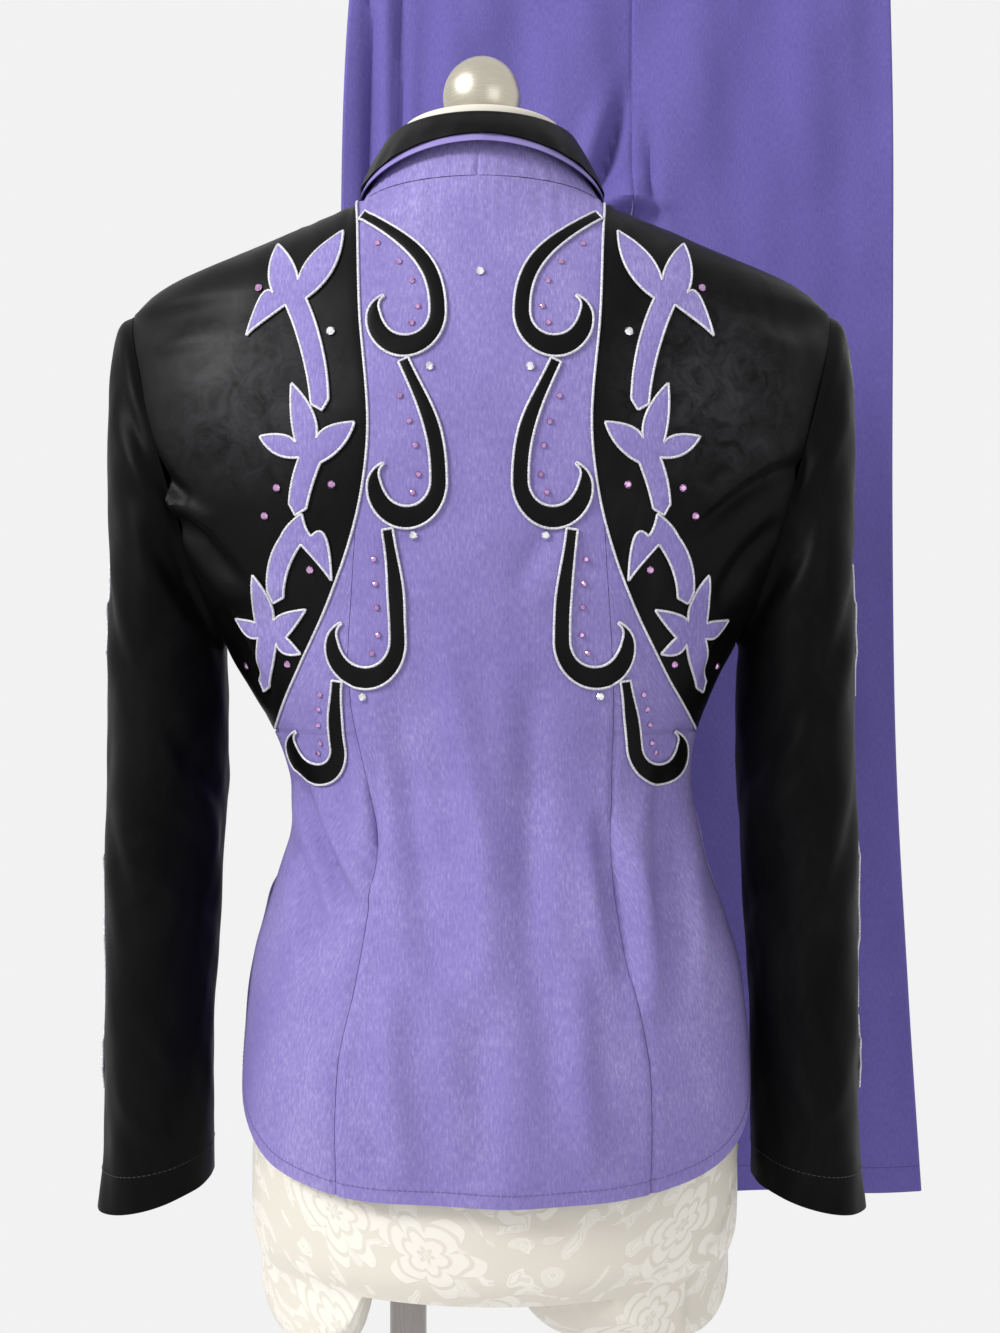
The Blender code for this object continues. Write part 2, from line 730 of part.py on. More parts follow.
def outline(rows, step):
    """Closed outline through a leaf table's points, smooth except at its corners."""
    points = [Vector((row["x"], row["z"])) for row in rows]
    count = len(points)
    result = []
    for i, row in enumerate(rows):
        a, b = points[i], points[(i + 1) % count]
        after = rows[(i + 1) % count]
        leave = (b - a) if row["corner"] else (b - points[i - 1]) / 2
        arrive = (b - a) if after["corner"] else (points[(i + 2) % count] - a) / 2
        pieces = max(1, round((b - a).length / step))
        for k in range(pieces):
            u = k / pieces
            result.append(
                a * (1 - u) ** 2 * (1 + 2 * u) + b * u * u * (3 - 2 * u)
                + leave * u * (1 - u) ** 2 - arrive * u * u * (1 - u)
            )
    return result


def sprig_outline(sprig, step):
    """Closed outline of a sprig: up one side of the stem, round its petals and down the other side."""
    foot = Vector((sprig["foot_x"], sprig["foot_z"]))
    crown = Vector((sprig["crown_x"], sprig["crown_z"]))
    up = (crown - foot).normalized()
    across = Vector((up.y, -up.x))
    points = []

    def toward(degrees, length):
        a = math.radians(degrees)
        return crown + (up * math.cos(a) + across * math.sin(a)) * length

    def curve(a, control, b):
        pieces = max(2, round((b - a).length / step))
        for k in range(pieces):
            u = k / pieces
            points.append(a * (1 - u) ** 2 + control * 2 * u * (1 - u) + b * u * u)

    petals = [p for p in PETALS if p["sprig"] == sprig["name"]]
    turns = [p["turn"] for p in petals]
    parts = [(a - b) * PETAL_PART for a, b in zip(turns, turns[1:])]
    spreads = [min(PETAL_SPREAD, part) for part in [PETAL_SPREAD, *parts, PETAL_SPREAD]]
    roots = [toward((a + b) / 2, NOTCH) for a, b in zip(turns, turns[1:])]
    roots = [crown + across * STEM_HALF, *roots, crown - across * STEM_HALF]
    waist = (foot + crown) / 2 + across * sprig["bow"]
    curve(foot + across * FOOT_HALF, waist + across * STEM_HALF, roots[0])
    for petal, a, b, first, second in zip(petals, roots, roots[1:], spreads, spreads[1:]):
        tip = toward(petal["turn"], petal["length"])
        belly, reach = petal["turn"] - petal["curl"], petal["length"] * petal["reach"]
        curve(a, toward(belly + first, reach), tip)
        curve(tip, toward(belly - second, reach), b)
    curve(roots[-1], waist - across * STEM_HALF, foot - across * FOOT_HALF)
    points.append(foot - across * FOOT_HALF)
    points.append(foot - up * FOOT_HALF)
    return points


def flat_mesh(border, spacing, extra=()):
    """Triangles inside a closed outline, with inner points so that they can follow a curved panel."""
    count = len(border)

    def inside(p, margin):
        crossed = False
        for i in range(count):
            a, b = border[i], border[(i + 1) % count]
            if (a.y > p.y) != (b.y > p.y) and p.x < a.x + (b.x - a.x) * (p.y - a.y) / (b.y - a.y):
                crossed = not crossed
            u = max(0.0, min(1.0, (p - a).dot(b - a) / (b - a).length_squared))
            if (a.lerp(b, u) - p).length < margin:
                return False
        return crossed

    low_x, high_x = min(p.x for p in border), max(p.x for p in border)
    low_z, high_z = min(p.y for p in border), max(p.y for p in border)
    extra = list(extra)
    fixed = len(extra)
    i = 0
    z = low_z + spacing / 2
    while z < high_z:
        x = low_x + spacing / 2 * (1 + i % 2)
        while x < high_x:
            p = Vector((x, z))
            if inside(p, spacing * 0.42) and all((p - q).length > spacing * 0.7 for q in extra[:fixed]):
                extra.append(p)
            x += spacing
        z += spacing * 0.87
        i += 1
    edges = [(i, (i + 1) % count) for i in range(count)]
    points, _, faces, *_ = delaunay_2d_cdt(border + extra, edges, [], 1, 1e-7)
    return points, faces


def raised(name, border, place, spacing, finish):
    """An applique of one closed outline; place(x, z, height) puts a point over its panel."""
    flat, triangles = flat_mesh(border, spacing)
    count = len(flat)
    points = [place(p.x, p.y, LIFT + APPLIQUE) for p in flat] + [place(p.x, p.y, LIFT) for p in flat]
    faces = [tuple(f) for f in triangles] + [tuple(i + count for i in reversed(f)) for f in triangles]
    used = {(a, f[(i + 1) % len(f)]) for f in triangles for i, a in enumerate(f)}
    for a, b in sorted(used):
        if (b, a) not in used:
            faces.append((a, a + count, b + count, b))
    return add_object(name, points, faces, finish)


def over_back(side):
    def place(x, z, height):
        t = t_at(-1, side * x, z)
        return jacket(-1, t, z) + jacket_normal(-1, t, z) * height

    return place


def scroll_centre(row, u):
    """Point of a scroll's centre line: stem, half loop, then the hook up to the tip."""
    start = Vector((row["top_x"], row["top_z"]))
    middle = start + Vector((row["swing"], -row["drop"]))
    wide, high = row["radius"], row["radius"] * SCROLL_OVAL
    belly, heel = middle - Vector((wide, 0)), middle + Vector((wide, 0))
    if u < 0.45:
        k = u / 0.45
        reach = (start - belly).length * 0.42
        lean = math.atan2(start.x - belly.x, row["drop"]) * SCROLL_LEAN
        first = start + Vector((-math.sin(lean), -math.cos(lean))) * reach
        second = belly + Vector((0, reach))
        near = start * (1 - k) ** 3 + first * 3 * k * (1 - k) ** 2
        return near + second * 3 * k * k * (1 - k) + belly * k**3
    if u < 0.85:
        a = math.pi * (1 + (u - 0.45) / 0.4)
        return middle + Vector((wide * math.cos(a), high * math.sin(a)))
    k = (u - 0.85) / 0.15
    tip = middle + Vector((wide * SCROLL_TIP[0], high * SCROLL_TIP[1]))
    control = heel + Vector((0, (tip.y - heel.y) * 0.7))
    return heel * (1 - k) ** 2 + control * 2 * k * (1 - k) + tip * k * k


def scroll_half_width(u):
    grow = smooth(u / 0.30)
    belly = SCROLL_BELLY * math.exp(-(((u - 0.66) / 0.13) ** 2))
    taper = 1 - smooth((u - 0.78) / 0.22) * 0.86
    return (mix(SCROLL_TOP_HALF, SCROLL_HALF_WIDTH, grow) + belly) * taper


def scrolls():
    """Black bands over the centre back, four a side, each a stem with an open hook."""
    steps = 18
    for side, word in ((-1, "left"), (1, "right")):
        place = over_back(side)
        for number, row in enumerate(SCROLLS, 1):
            top, low = [], []
            for i in range(steps + 1):
                u = i / steps
                before, after = scroll_centre(row, max(0, u - 0.01)), scroll_centre(row, min(1, u + 0.01))
                along = (after - before).normalized()
                across = Vector((-along.y, along.x)) * scroll_half_width(u)
                centre = scroll_centre(row, u)
                line = [centre + across, centre, centre - across]
                top.append([place(p.x, p.y, LIFT + APPLIQUE) for p in line])
                low.append([place(p.x, p.y, LIFT) for p in line])
            wall(f"scroll_{word}_{number}", top, low, black_suede())


def leaves():
    """Lavender leaf appliques on the black yokes, four a side."""
    for side, word in ((-1, "left"), (1, "right")):
        for sprig in SPRIGS:
            border = sprig_outline(sprig, 0.009)
            raised(f"leaf_{sprig['name']}_{word}", border, over_back(side), 0.014, lavender())


def sleeve_leaves():
    """Pointed leaves down the outside of each sleeve, a little behind its middle."""
    last = len(SLEEVE) - 1

    def row_at(z):
        low, high = 0.0, float(last)
        for _ in range(30):
            middle = (low + high) / 2
            if sleeve_point(1, 0, middle).z > z:
                low = middle
            else:
                high = middle
        return (low + high) / 2

    for side, word in ((-1, "left"), (1, "right")):
        def place(x, z, height):
            v = row_at(z)
            turn = x / 0.058
            return sleeve_point(side, turn, v) + sleeve_normal(side, turn, v) * height

        for leaf in SLEEVE_LEAVES:
            half = leaf["length"] / 2
            shape = table(
                "x z corner",
                (0.006, half, 1), (0.001, half * 0.45, 0), (-0.007, half * 0.30, 1),
                (-0.001, 0.0, 0), (-0.009, -half * 0.45, 1), (0.002, -half * 0.5, 0),
                (0.005, -half, 1), (0.011, -half * 0.5, 0), (0.021, -half * 0.30, 1),
                (0.013, 0.0, 0), (0.018, half * 0.42, 1), (0.010, half * 0.5, 0),
            )
            border = [Vector((p.x, p.y + leaf["z"])) for p in outline(shape, 0.014)]
            raised(f"sleeve_leaf_{leaf['name']}_{word}", border, place, 0.013, lavender())


# Dress form

def form_section(z):
    """Half width, back and front depth of the form at a height."""
    ridge_low = FORM[-1]["z"]
    if z <= ridge_low:
        return tuple(spline(FORM, c, z) for c in ("half_width", "back", "front"))
    if z < NECK[0]["z"]:
        under = (CLOTH + GAP) / math.cos(math.radians(22)) + 0.0001
        low = min(z, SHOULDER_TOP)
        width = min(FORM[-1]["half_width"], spline(RIDGE, "half_width", low + under))
        depths = [min(spline(BODY, name, low) - 0.0065, FORM[-1][name]) for name in ("back", "front")]
        rise = max(0.0, (z - SHOULDER_TOP) / (NECK[0]["z"] - SHOULDER_TOP)) ** 0.45
        sizes = zip((width, *depths), (NECK[0][c] for c in ("half_width", "back", "front")))
        return tuple(mix(a, b, rise) for a, b in sizes)
    return tuple(spline(NECK, c, z) for c in ("half_width", "back", "front"))


def form_torso():
    """Closed solid that the jacket rests on along the shoulders; two soft lobes below."""
    around = 20
    heights = [0.70, 0.72, 0.76, 0.83, 0.90, 0.94, 0.98, 1.02, 1.06, 1.118, 1.18, 1.25, 1.31, 1.35, 1.362]
    heights += [1.378, SHOULDER_TOP, 1.403, NECK[0]["z"], 1.426, 1.44, 1.456]
    points, faces = [], []

    def ring_point(z, a):
        width, back, front = form_section(z)
        depth = back if math.cos(a) > 0 else front
        return Vector((width * math.sin(a) + sway(z), -depth * math.cos(a), z))

    def underside(x, y):
        """Height of the underside: flat round the pole, with a soft lobe at each side."""
        low = 0.0
        for lobe in LOBES:
            r = math.hypot((x - lobe["x"]) / lobe["rx"], y / lobe["ry"])
            if r < 1:
                low = max(low, math.sqrt(1 - r**4))
        return UNDERSIDE_Z - LOBE_DEPTH * low

    rings = []
    for z in heights:
        rings.append([len(points) + i for i in range(around)])
        points += [ring_point(z, 2 * math.pi * i / around) for i in range(around)]
    for low, high in zip(rings, rings[1:]):
        for i in range(around):
            k = (i + 1) % around
            faces.append((low[i], low[k], high[k], high[i]))
    faces.append(tuple(reversed(rings[-1])))
    border = [points[i].xy for i in rings[0]]
    around_pole = [2 * math.pi * i / 10 for i in range(10)]
    seat = [Vector((POLE_X + 0.017 * math.cos(a), 0.017 * math.sin(a))) for a in around_pole]
    flat, triangles = flat_mesh(border, 0.024, seat)
    inner = range(around, len(flat))
    index = {i: i for i in range(around)}
    for i in inner:
        index[i] = len(points)
        points.append(Vector((*flat[i], underside(*flat[i]))))
    faces += [tuple(index[i] for i in f) for f in triangles]
    add_object("form_torso", points, faces, ivory())


def form_stand():
    """Neck cap, ball finial, pole and weighted base."""
    cap_low = NECK[-1]["z"] + GAP
    rim = 0.0565
    turned(
        "form_neck_cap",
        ((0, cap_low), (rim - 0.001, cap_low), (rim, cap_low + 0.002), (rim, CAP_TOP - 0.003),
         (rim - 0.003, CAP_TOP), (0, CAP_TOP)),
        ivory(), 24,
    )
    steps = 8
    centre = CAP_TOP + GAP + BALL_RADIUS * math.cos(math.radians(20))
    ball = [(0, CAP_TOP + GAP)]
    for i in range(steps + 1):
        a = math.radians(mix(20, 180, i / steps))
        radius = 0 if i == steps else BALL_RADIUS * math.sin(a)
        ball.append((radius, centre - BALL_RADIUS * math.cos(a)))
    turned("form_finial", ball, material("brushed_nickel", (0.55, 0.52, 0.45), 0.35, 1.0), 16)
    dark = material("dark_chrome", (0.35, 0.33, 0.32), 0.2, 1.0)
    hub_top = 0.045
    turned(
        "form_pole",
        ((0, hub_top + GAP), (POLE_RADIUS, hub_top + GAP), (POLE_RADIUS, UNDERSIDE_Z - GAP),
         (0, UNDERSIDE_Z - GAP)),
        dark, 16, x=POLE_X,
    )
    turned(
        "form_base",
        ((0, 0), (BASE_RADIUS - 0.002, 0), (BASE_RADIUS, 0.002), (BASE_RADIUS, 0.008),
         (BASE_RADIUS - 0.01, 0.013), (0.034, 0.020), (0.022, 0.026), (0.022, hub_top), (0, hub_top)),
        dark, 24, x=POLE_X,
    )


# Trousers

def trouser_wave(x, z):
    """How far both layers stand out towards -Y, as soft folds."""
    legs = 0.004 * math.sin(x * 38 + z * 2.2) * smooth((1.45 - z) / 0.3)
    seat = 0.0045 * math.sin((x - z * 0.16) * 60) * smooth((z - 1.45) / 0.15) * smooth((1.74 - z) / 0.1)

    def bump(x0, z0, wide, high, amount, slant=0.0):
        dx = (x - x0 - slant * (z - z0)) / wide
        dz = (z - z0) / high
        return amount * math.exp(-dx * dx - dz * dz)

    knot = bump(TROUSERS_X - 0.004, CROTCH_Z + 0.020, 0.022, 0.018, 0.008)
    hollow = bump(TROUSERS_X - 0.006, CROTCH_Z - 0.004, 0.018, 0.014, -0.004)
    slanted = bump(TROUSERS_X - 0.020, 1.550, 0.012, 0.045, -0.005, 0.28)
    beside = bump(TROUSERS_X - 0.038, 1.545, 0.013, 0.045, 0.004, 0.28)
    side = bump(TROUSERS_X - 0.206, 1.64, 0.016, 0.12, -0.004, 0.02)
    return legs + seat + knot + hollow + slanted + beside + side


def trouser_edges(side, z):
    """Distances of the inner and outer edge from the centre seam."""
    outer = spline(TROUSERS, "left_outer" if side < 0 else "right_outer", z)
    inner = SEAM + 0.004 * smooth((CROTCH_Z - z) / 0.6)
    return inner, outer


def trouser_layer(side, facing, z, across, seated):
    """Outer point and inward direction; across counts from 0 at the inner edge to 1 at the side seam."""
    inner, outer = trouser_edges(side, z)
    width = outer - inner
    d = across * width
    radius = LAYER
    curl_in = (1 - seated) * max(0.0, 1 - d / radius)
    curl_out = max(0.0, 1 - (width - d) / radius)
    curl = max(curl_in, curl_out)
    off = max(SEAM, radius * math.sqrt(max(0.0, 1 - curl * curl)))
    sideways = side * (curl_out if curl_out >= curl_in else -curl_in)
    direction = Vector((-sideways, -facing * math.sqrt(max(0.0, 1 - curl * curl)), 0))
    if direction.length < 1e-6:
        direction = Vector((-sideways, 0, 0))
    x = TROUSERS_X + side * (inner + d)
    y = TROUSERS_Y - trouser_wave(x, z) + facing * off
    return Vector((x, y, z)), direction.normalized()


def trousers():
    """Fronts and backs of the two legs, hung flat, with a waistband and a fly facing."""
    heights = [TROUSER_HEM, 0.84, 1.05, 1.26, 1.42, 1.47, CROTCH_Z, 1.512, 1.54, 1.58, 1.65, BAND_Z[0] - SEAM]
    rim = (0.0, 0.0010, LAYER)
    for side, word in ((-1, "left"), (1, "right")):
        for facing, face in ((-1, "back"), (1, "front")):
            outer, inner = [], []
            for z in heights:
                near, far = trouser_edges(side, z)
                width = far - near
                seated = smooth((z - CROTCH_Z) / 0.028)
                places = [r / width for r in rim] + list(FLY_PLACES) + [0.24, 0.40, 0.62, 0.84]
                places += [1 - r / width for r in reversed(rim)]
                pairs = [trouser_layer(side, facing, z, s, seated) for s in places]
                outer.append([p for p, _ in pairs])
                inner.append([p + d * CLOTH for p, d in pairs])
            wall(f"trouser_{face}_{word}", outer, inner, purple())
    low, high = BAND_Z
    outer, inner = [], []
    for z in (low + SEAM, high):
        left, right = trouser_edges(-1, z)[1], trouser_edges(1, z)[1]
        ring = []
        lengths = [-left + 0.003, -left * 0.7, -left * 0.35, 0.0, right * 0.35, right * 0.7, right - 0.003]
        for facing in (-1, 1):
            for x in lengths if facing < 0 else reversed(lengths):
                wave = trouser_wave(TROUSERS_X + x, low)
                place = Vector((TROUSERS_X + x, TROUSERS_Y - wave + facing * LAYER, z))
                ring.append((place, Vector((0, -facing, 0))))
            end = right if facing < 0 else -left
            wave = trouser_wave(TROUSERS_X + end, low)
            ring.append(
                (Vector((TROUSERS_X + end, TROUSERS_Y - wave, z)), Vector((-math.copysign(1, end), 0, 0)))
            )
        outer.append([p for p, _ in ring])
        inner.append([p + d * CLOTH for p, d in ring])
    wall("trouser_waistband", outer, inner, purple(), closed=True)
    outer, inner = [], []
    for z in [h for h in heights if h > 1.57]:
        near, far = trouser_edges(1, z)
        places = (LAYER / (far - near), *FLY_PLACES)
        under = [trouser_layer(1, 1, z, s, 1.0)[0] + Vector((0, LIFT, 0)) for s in places]
        inner.append(under)
        outer.append([p + Vector((0, CLOTH, 0)) for p in under])
    wall("trouser_fly", outer, inner, purple())


# Hanger and wall hook

def cutter(shape):
    shape.hide_render = True
    shape.display_type = "WIRE"
    return shape


def cut(target, tool):
    change = target.modifiers.new("cut", "BOOLEAN")
    change.operation = "DIFFERENCE"
    change.solver = "EXACT"
    change.object = cutter(tool)


def hanger():
    """Bar with two clips on the waistband, and its hook over the wall hook's peg."""
    bar_half = 0.004
    chrome = material("chrome", (0.7, 0.7, 0.7), 0.15, 1.0)
    x, y = TROUSERS_X, TROUSERS_Y
    block(
        "hanger_bar", (x - HANGER_BAR_HALF, y - bar_half, BAR_Z - bar_half),
        (x + HANGER_BAR_HALF, y + bar_half, BAR_Z + bar_half), chrome,
    )
    for side, word in ((-1, "left"), (1, "right")):
        middle = x + side * CLIP_X
        wave = trouser_wave(middle, BAND_Z[0])
        clip = block(
            "hanger_clip_" + word, (middle - 0.014, y - 0.013, 1.768), (middle + 0.014, y + 0.013, 1.816),
            chrome,
        )
        room = LAYER + 0.0009
        cut(clip, block(
            "clip_mouth_" + word, (middle - 0.02, y - wave - room, 1.75),
            (middle + 0.02, y - wave + room, BAND_Z[1] + GAP), chrome,
        ))
        grip = bar_half + GAP
        cut(clip, block(
            "clip_bore_" + word, (middle - 0.02, y - grip, BAR_Z - grip),
            (middle + 0.02, y + grip, BAR_Z + grip), chrome,
        ))
    foot = BAR_Z + bar_half + GAP
    route = [(0.0, foot), (0.0, foot + 0.03), (0.002, foot + 0.042), (0.010, HOOK_CENTRE_Z - 0.019)]
    for degrees in range(-40, 201, 20):
        a = math.radians(degrees)
        route.append((HOOK_RADIUS * math.cos(a), HOOK_CENTRE_Z + HOOK_RADIUS * math.sin(a)))
    curve = bpy.data.curves.new("hanger_hook", "CURVE")
    curve.dimensions = "3D"
    curve.bevel_depth = HOOK_WIRE
    curve.bevel_resolution = 2
    curve.use_fill_caps = True
    line = curve.splines.new("POLY")
    line.points.add(len(route) - 1)
    for point, (dx, z) in zip(line.points, route):
        point.co = (x + dx, y, z, 1)
    curve.materials.append(chrome)
    bpy.context.scene.collection.objects.link(bpy.data.objects.new("hanger_hook", curve))
    peg_z = HOOK_CENTRE_Z + HOOK_RADIUS - HOOK_WIRE - GAP - PEG_RADIUS
    peg = turned(
        "wall_peg",
        ((0, 0), (PEG_RADIUS, 0), (PEG_RADIUS, 0.052), (PEG_RADIUS + 0.004, 0.0535),
         (PEG_RADIUS + 0.004, 0.058), (0, 0.060)),
        steel(), 16,
    )
    peg.rotation_euler = (math.radians(90), 0, 0)
    peg.location = (x, WALL_Y - GAP, peg_z)
    block("wall_plate", (x - 0.03, WALL_Y, peg_z - 0.045), (x + 0.03, WALL_Y + 0.005, peg_z + 0.045), steel())


def build():
    for old in list(bpy.data.objects):
        bpy.data.objects.remove(old, do_unlink=True)
    backs()
    fronts()
    placket()
    collar()
    sleeves()
    scrolls()
    leaves()
    sleeve_leaves()
    form_torso()
    form_stand()
    trousers()
    hanger()


build()
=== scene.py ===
"""Looks of the western suit: fine cloth, cords, stones, stitching, materials, camera and light.

Metres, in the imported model's frame: +Z up, +X to the wearer's right, +Y the way the wearer faces.
"""

import math

import bmesh
import bpy
import numpy as np
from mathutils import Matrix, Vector
from mathutils.geometry import delaunay_2d_cdt, intersect_line_line_2d


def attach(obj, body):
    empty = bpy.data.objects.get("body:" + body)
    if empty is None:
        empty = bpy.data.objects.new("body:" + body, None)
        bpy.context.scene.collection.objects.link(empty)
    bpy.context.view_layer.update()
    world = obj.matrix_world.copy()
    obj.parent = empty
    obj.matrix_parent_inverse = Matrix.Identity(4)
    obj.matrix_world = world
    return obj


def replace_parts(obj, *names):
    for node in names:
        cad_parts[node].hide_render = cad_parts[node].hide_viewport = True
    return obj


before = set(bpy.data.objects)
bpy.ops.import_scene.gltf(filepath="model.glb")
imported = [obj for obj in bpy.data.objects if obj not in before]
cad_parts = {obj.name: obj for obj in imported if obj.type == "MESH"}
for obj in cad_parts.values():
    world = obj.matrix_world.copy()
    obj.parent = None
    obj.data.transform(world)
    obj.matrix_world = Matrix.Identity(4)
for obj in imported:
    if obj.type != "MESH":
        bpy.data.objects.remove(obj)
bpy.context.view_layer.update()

QUARTER = math.pi / 2
SIDES = ((-1, "left"), (1, "right"))

# Driving sizes, the same as the solids'
GAP = 0.0003  # between pieces that touch
SEAM = GAP / 2
NECK_Z = 1.415
NECK_HALF = 0.083
NECK_DROP = 0.070
HEM_NOMINAL = 0.76
HEM_TOP = 0.90
SHOULDER_TIP = (0.238, 1.341)
ARMPIT = (0.176, 1.118)
ARMHOLE_HALF_DEPTH = 0.062
LEAN = 0.009  # the jacket's skirt and the form stand this far to the right of the shoulders
ARMHOLE_TURN = math.radians(62)
APPLIQUE = 0.0012
LIFT = 0.0007  # underside of an applique's crown over the cloth
UNDERSIDE_Z = 0.702
CAP_TOP = 1.468
CAP_HALF = 0.0565
BALL_RADIUS = 0.027
POLE_X = -0.051
TROUSERS_X = 0.128
TROUSERS_Y = 0.26
CROTCH_Z = 1.492
TROUSER_HEM = 0.640
BAND_Z = (1.745, 1.785)
LAYER = 0.0033  # half thickness of the trousers as they hang flat
SOLID_CLOTH = 0.0016  # wall of the solids' cloth
SHOULDER_SLOPE = math.radians(22)

# Sizes of this finer model alone
CLOTH = 0.0012  # wall of its cloth
PANEL_STEP = 0.0038  # between rows of points on the jacket's panels
YOKE_STEP = 0.0036
HEM_STITCH = 0.0085  # stitches above the jacket's hem
TURN_UP = 0.025  # double cloth at the trousers' hem
TURN_UP_STITCH = 0.022
PLACKET_HALF = 0.014
PLACKET_STITCH = 0.0045  # from the placket's edges
PLACKET_RISE = 0.0018  # its face over the fronts
STITCH = 0.0026
STITCH_PITCH = 0.0034
THREAD_RADIUS = 0.00028
THREAD_LIFT = 0.0002
APPLIQUE_GRID = 0.0022
SPRIG_STEP = 0.0025
SCROLL_STEPS = 90
CORD_RADIUS = 0.00085
CORD_STEP = 0.0011
CORD_SIDES = 6
CORD_LIFT = 0.0012
CORD_TWIST = 0.16  # how oval the twisted cord is
TWIST_LENGTH = 0.0042

# Heights of the cloth's small relief
RUMPLE = 0.0010
FLARE = 0.0016  # waves of the jacket's skirt
PUCKER = 0.0007  # of the back below the neck seam
STAND_PUCKER = 0.0005
SEAM_SINK = 0.0011
SEAM_SWELL = 0.0005  # beside a sewn seam
YOKE_SINK = 0.0005
SLEEVE_ROLL = 0.0016  # the sleeve's head stands up by this
LEG_WAVE = 0.004
SEAT_WAVE = 0.0045
FINE_WAVE = 0.0006

# Collar
STAND_TOP = (0.0625, 0.0615)  # half width and depth of the stand's upper edge
STAND_RISE = (0.0405, 0.030)  # its height behind and in front
FALL_Z = (1.4415, 1.4240)  # the fall's lower edge at the centre back and at the sides
FALL_ON_CHEST = 0.0045
FALL_ENDS = 5  # fall_point's k at the lower edge


def table(columns, *rows):
    """Rows of numbers as dicts, by the names of their columns."""
    return [dict(zip(columns.split(), row)) for row in rows]


BODY = table(
    "z half_width back front",
    (0.76, 0.1765, 0.122, 0.108),
    (0.83, 0.1750, 0.124, 0.112),
    (0.90, 0.1665, 0.115, 0.108),
    (0.94, 0.1555, 0.105, 0.101),
    (0.98, 0.1420, 0.095, 0.094),
    (1.02, 0.1372, 0.090, 0.091),
    (1.06, 0.1470, 0.094, 0.099),
    (1.118, 0.1760, 0.101, 0.113),
    (1.18, 0.2000, 0.108, 0.125),
    (1.25, 0.2080, 0.112, 0.120),
    (1.32, 0.2300, 0.102, 0.098),
    (1.38, 0.1650, 0.085, 0.070),
    (1.415, 0.0830, 0.072, 0.050),
)
RIDGE = table(
    "z half_width",
    (1.341, 0.238),
    (1.352, 0.2265),
    (1.362, 0.209),
    (1.385, 0.152),
    (1.405, 0.103),
    (1.415, 0.083),
)
YOKE_LINE = table(
    "z x",
    (1.0575, 0.1420),
    (1.075, 0.1315),
    (1.10, 0.1165),
    (1.15, 0.0915),
    (1.20, 0.0750),
    (1.25, 0.0690),
    (1.32, 0.0750),
    (1.38, 0.0785),
    (1.415, 0.0830),
)
PRINCESS = table(
    "z x",
    (0.76, 0.0990),
    (0.85, 0.0975),
    (0.92, 0.0840),
    (0.985, 0.0760),
    (1.02, 0.0780),
    (1.08, 0.0840),
    (1.19, 0.0772),
)
HEM = table(
    "t z",
    (0.00, 0.772),
    (0.35, 0.7715),
    (0.50, 0.776),
    (0.65, 0.787),
    (0.80, 0.806),
    (0.92, 0.829),
    (1.00, 0.838),
)
SLEEVE = table(
    "v outer_x outer_z inner_x inner_z half_depth",
    (0, 0.2380, 1.341, 0.1760, 1.118, 0.0620),
    (1, 0.2475, 1.331, 0.1785, 1.112, 0.0645),
    (2, 0.2530, 1.307, 0.1785, 1.106, 0.0670),
    (3, 0.2545, 1.262, 0.1780, 1.100, 0.0685),
    (4, 0.2542, 1.200, 0.1775, 1.090, 0.0690),
    (5, 0.2545, 1.130, 0.1770, 1.070, 0.0680),
    (6, 0.2555, 1.050, 0.1780, 1.020, 0.0655),
    (7, 0.2570, 0.955, 0.1815, 0.950, 0.0615),
    (8, 0.2580, 0.870, 0.1862, 0.870, 0.0575),
    (9, 0.2585, 0.800, 0.1870, 0.802, 0.0530),
    (10, 0.2600, 0.765, 0.1870, 0.774, 0.0505),
    (11, 0.2635, 0.732, 0.1865, 0.749, 0.0485),
)
# A scroll is a stem that drops into an open loop and hooks up to a point. All four are one form; a row
# gives the top of the stem, the drop and sideways swing from there to the loop's middle, and its radius
SCROLLS = table(
    "top_x top_z drop swing radius",
    (0.076, 1.390, 0.070, -0.030, 0.020),
    (0.047, 1.289, 0.075, -0.002, 0.020),
    (0.057, 1.185, 0.069, 0.015, 0.021),
    (0.091, 1.091, 0.043, 0.021, 0.017),
)
SCROLL_LEAN = 1.5  # the stem sets off this many times as slanted as the straight line to the loop's side
SCROLL_OVAL = 1.1  # height of a loop over its width
SCROLL_TIP = (0.70, 0.50)  # tip of the hook from the loop's middle, in radii
SCROLL_TOP_HALF = 0.0034
SCROLL_HALF_WIDTH = 0.0050
SCROLL_BELLY = 0.0019  # a scroll is this much wider each side at the foot of its loop
# A sprig is a bowed stem that opens into pointed petals at its crown; x is the distance from the centre
# back. All are drawn by one rule, and a row gives only where a stem starts, where it opens and its bow
SPRIGS = table(
    "name foot_x foot_z crown_x crown_z bow",
    ("top", 0.099, 1.264, 0.116, 1.330, -0.006),
    ("tulip", 0.113, 1.200, 0.105, 1.228, 0.002),
    ("hook", 0.130, 1.146, 0.118, 1.179, 0.006),
    ("star", 0.146, 1.088, 0.138, 1.117, -0.001),
)
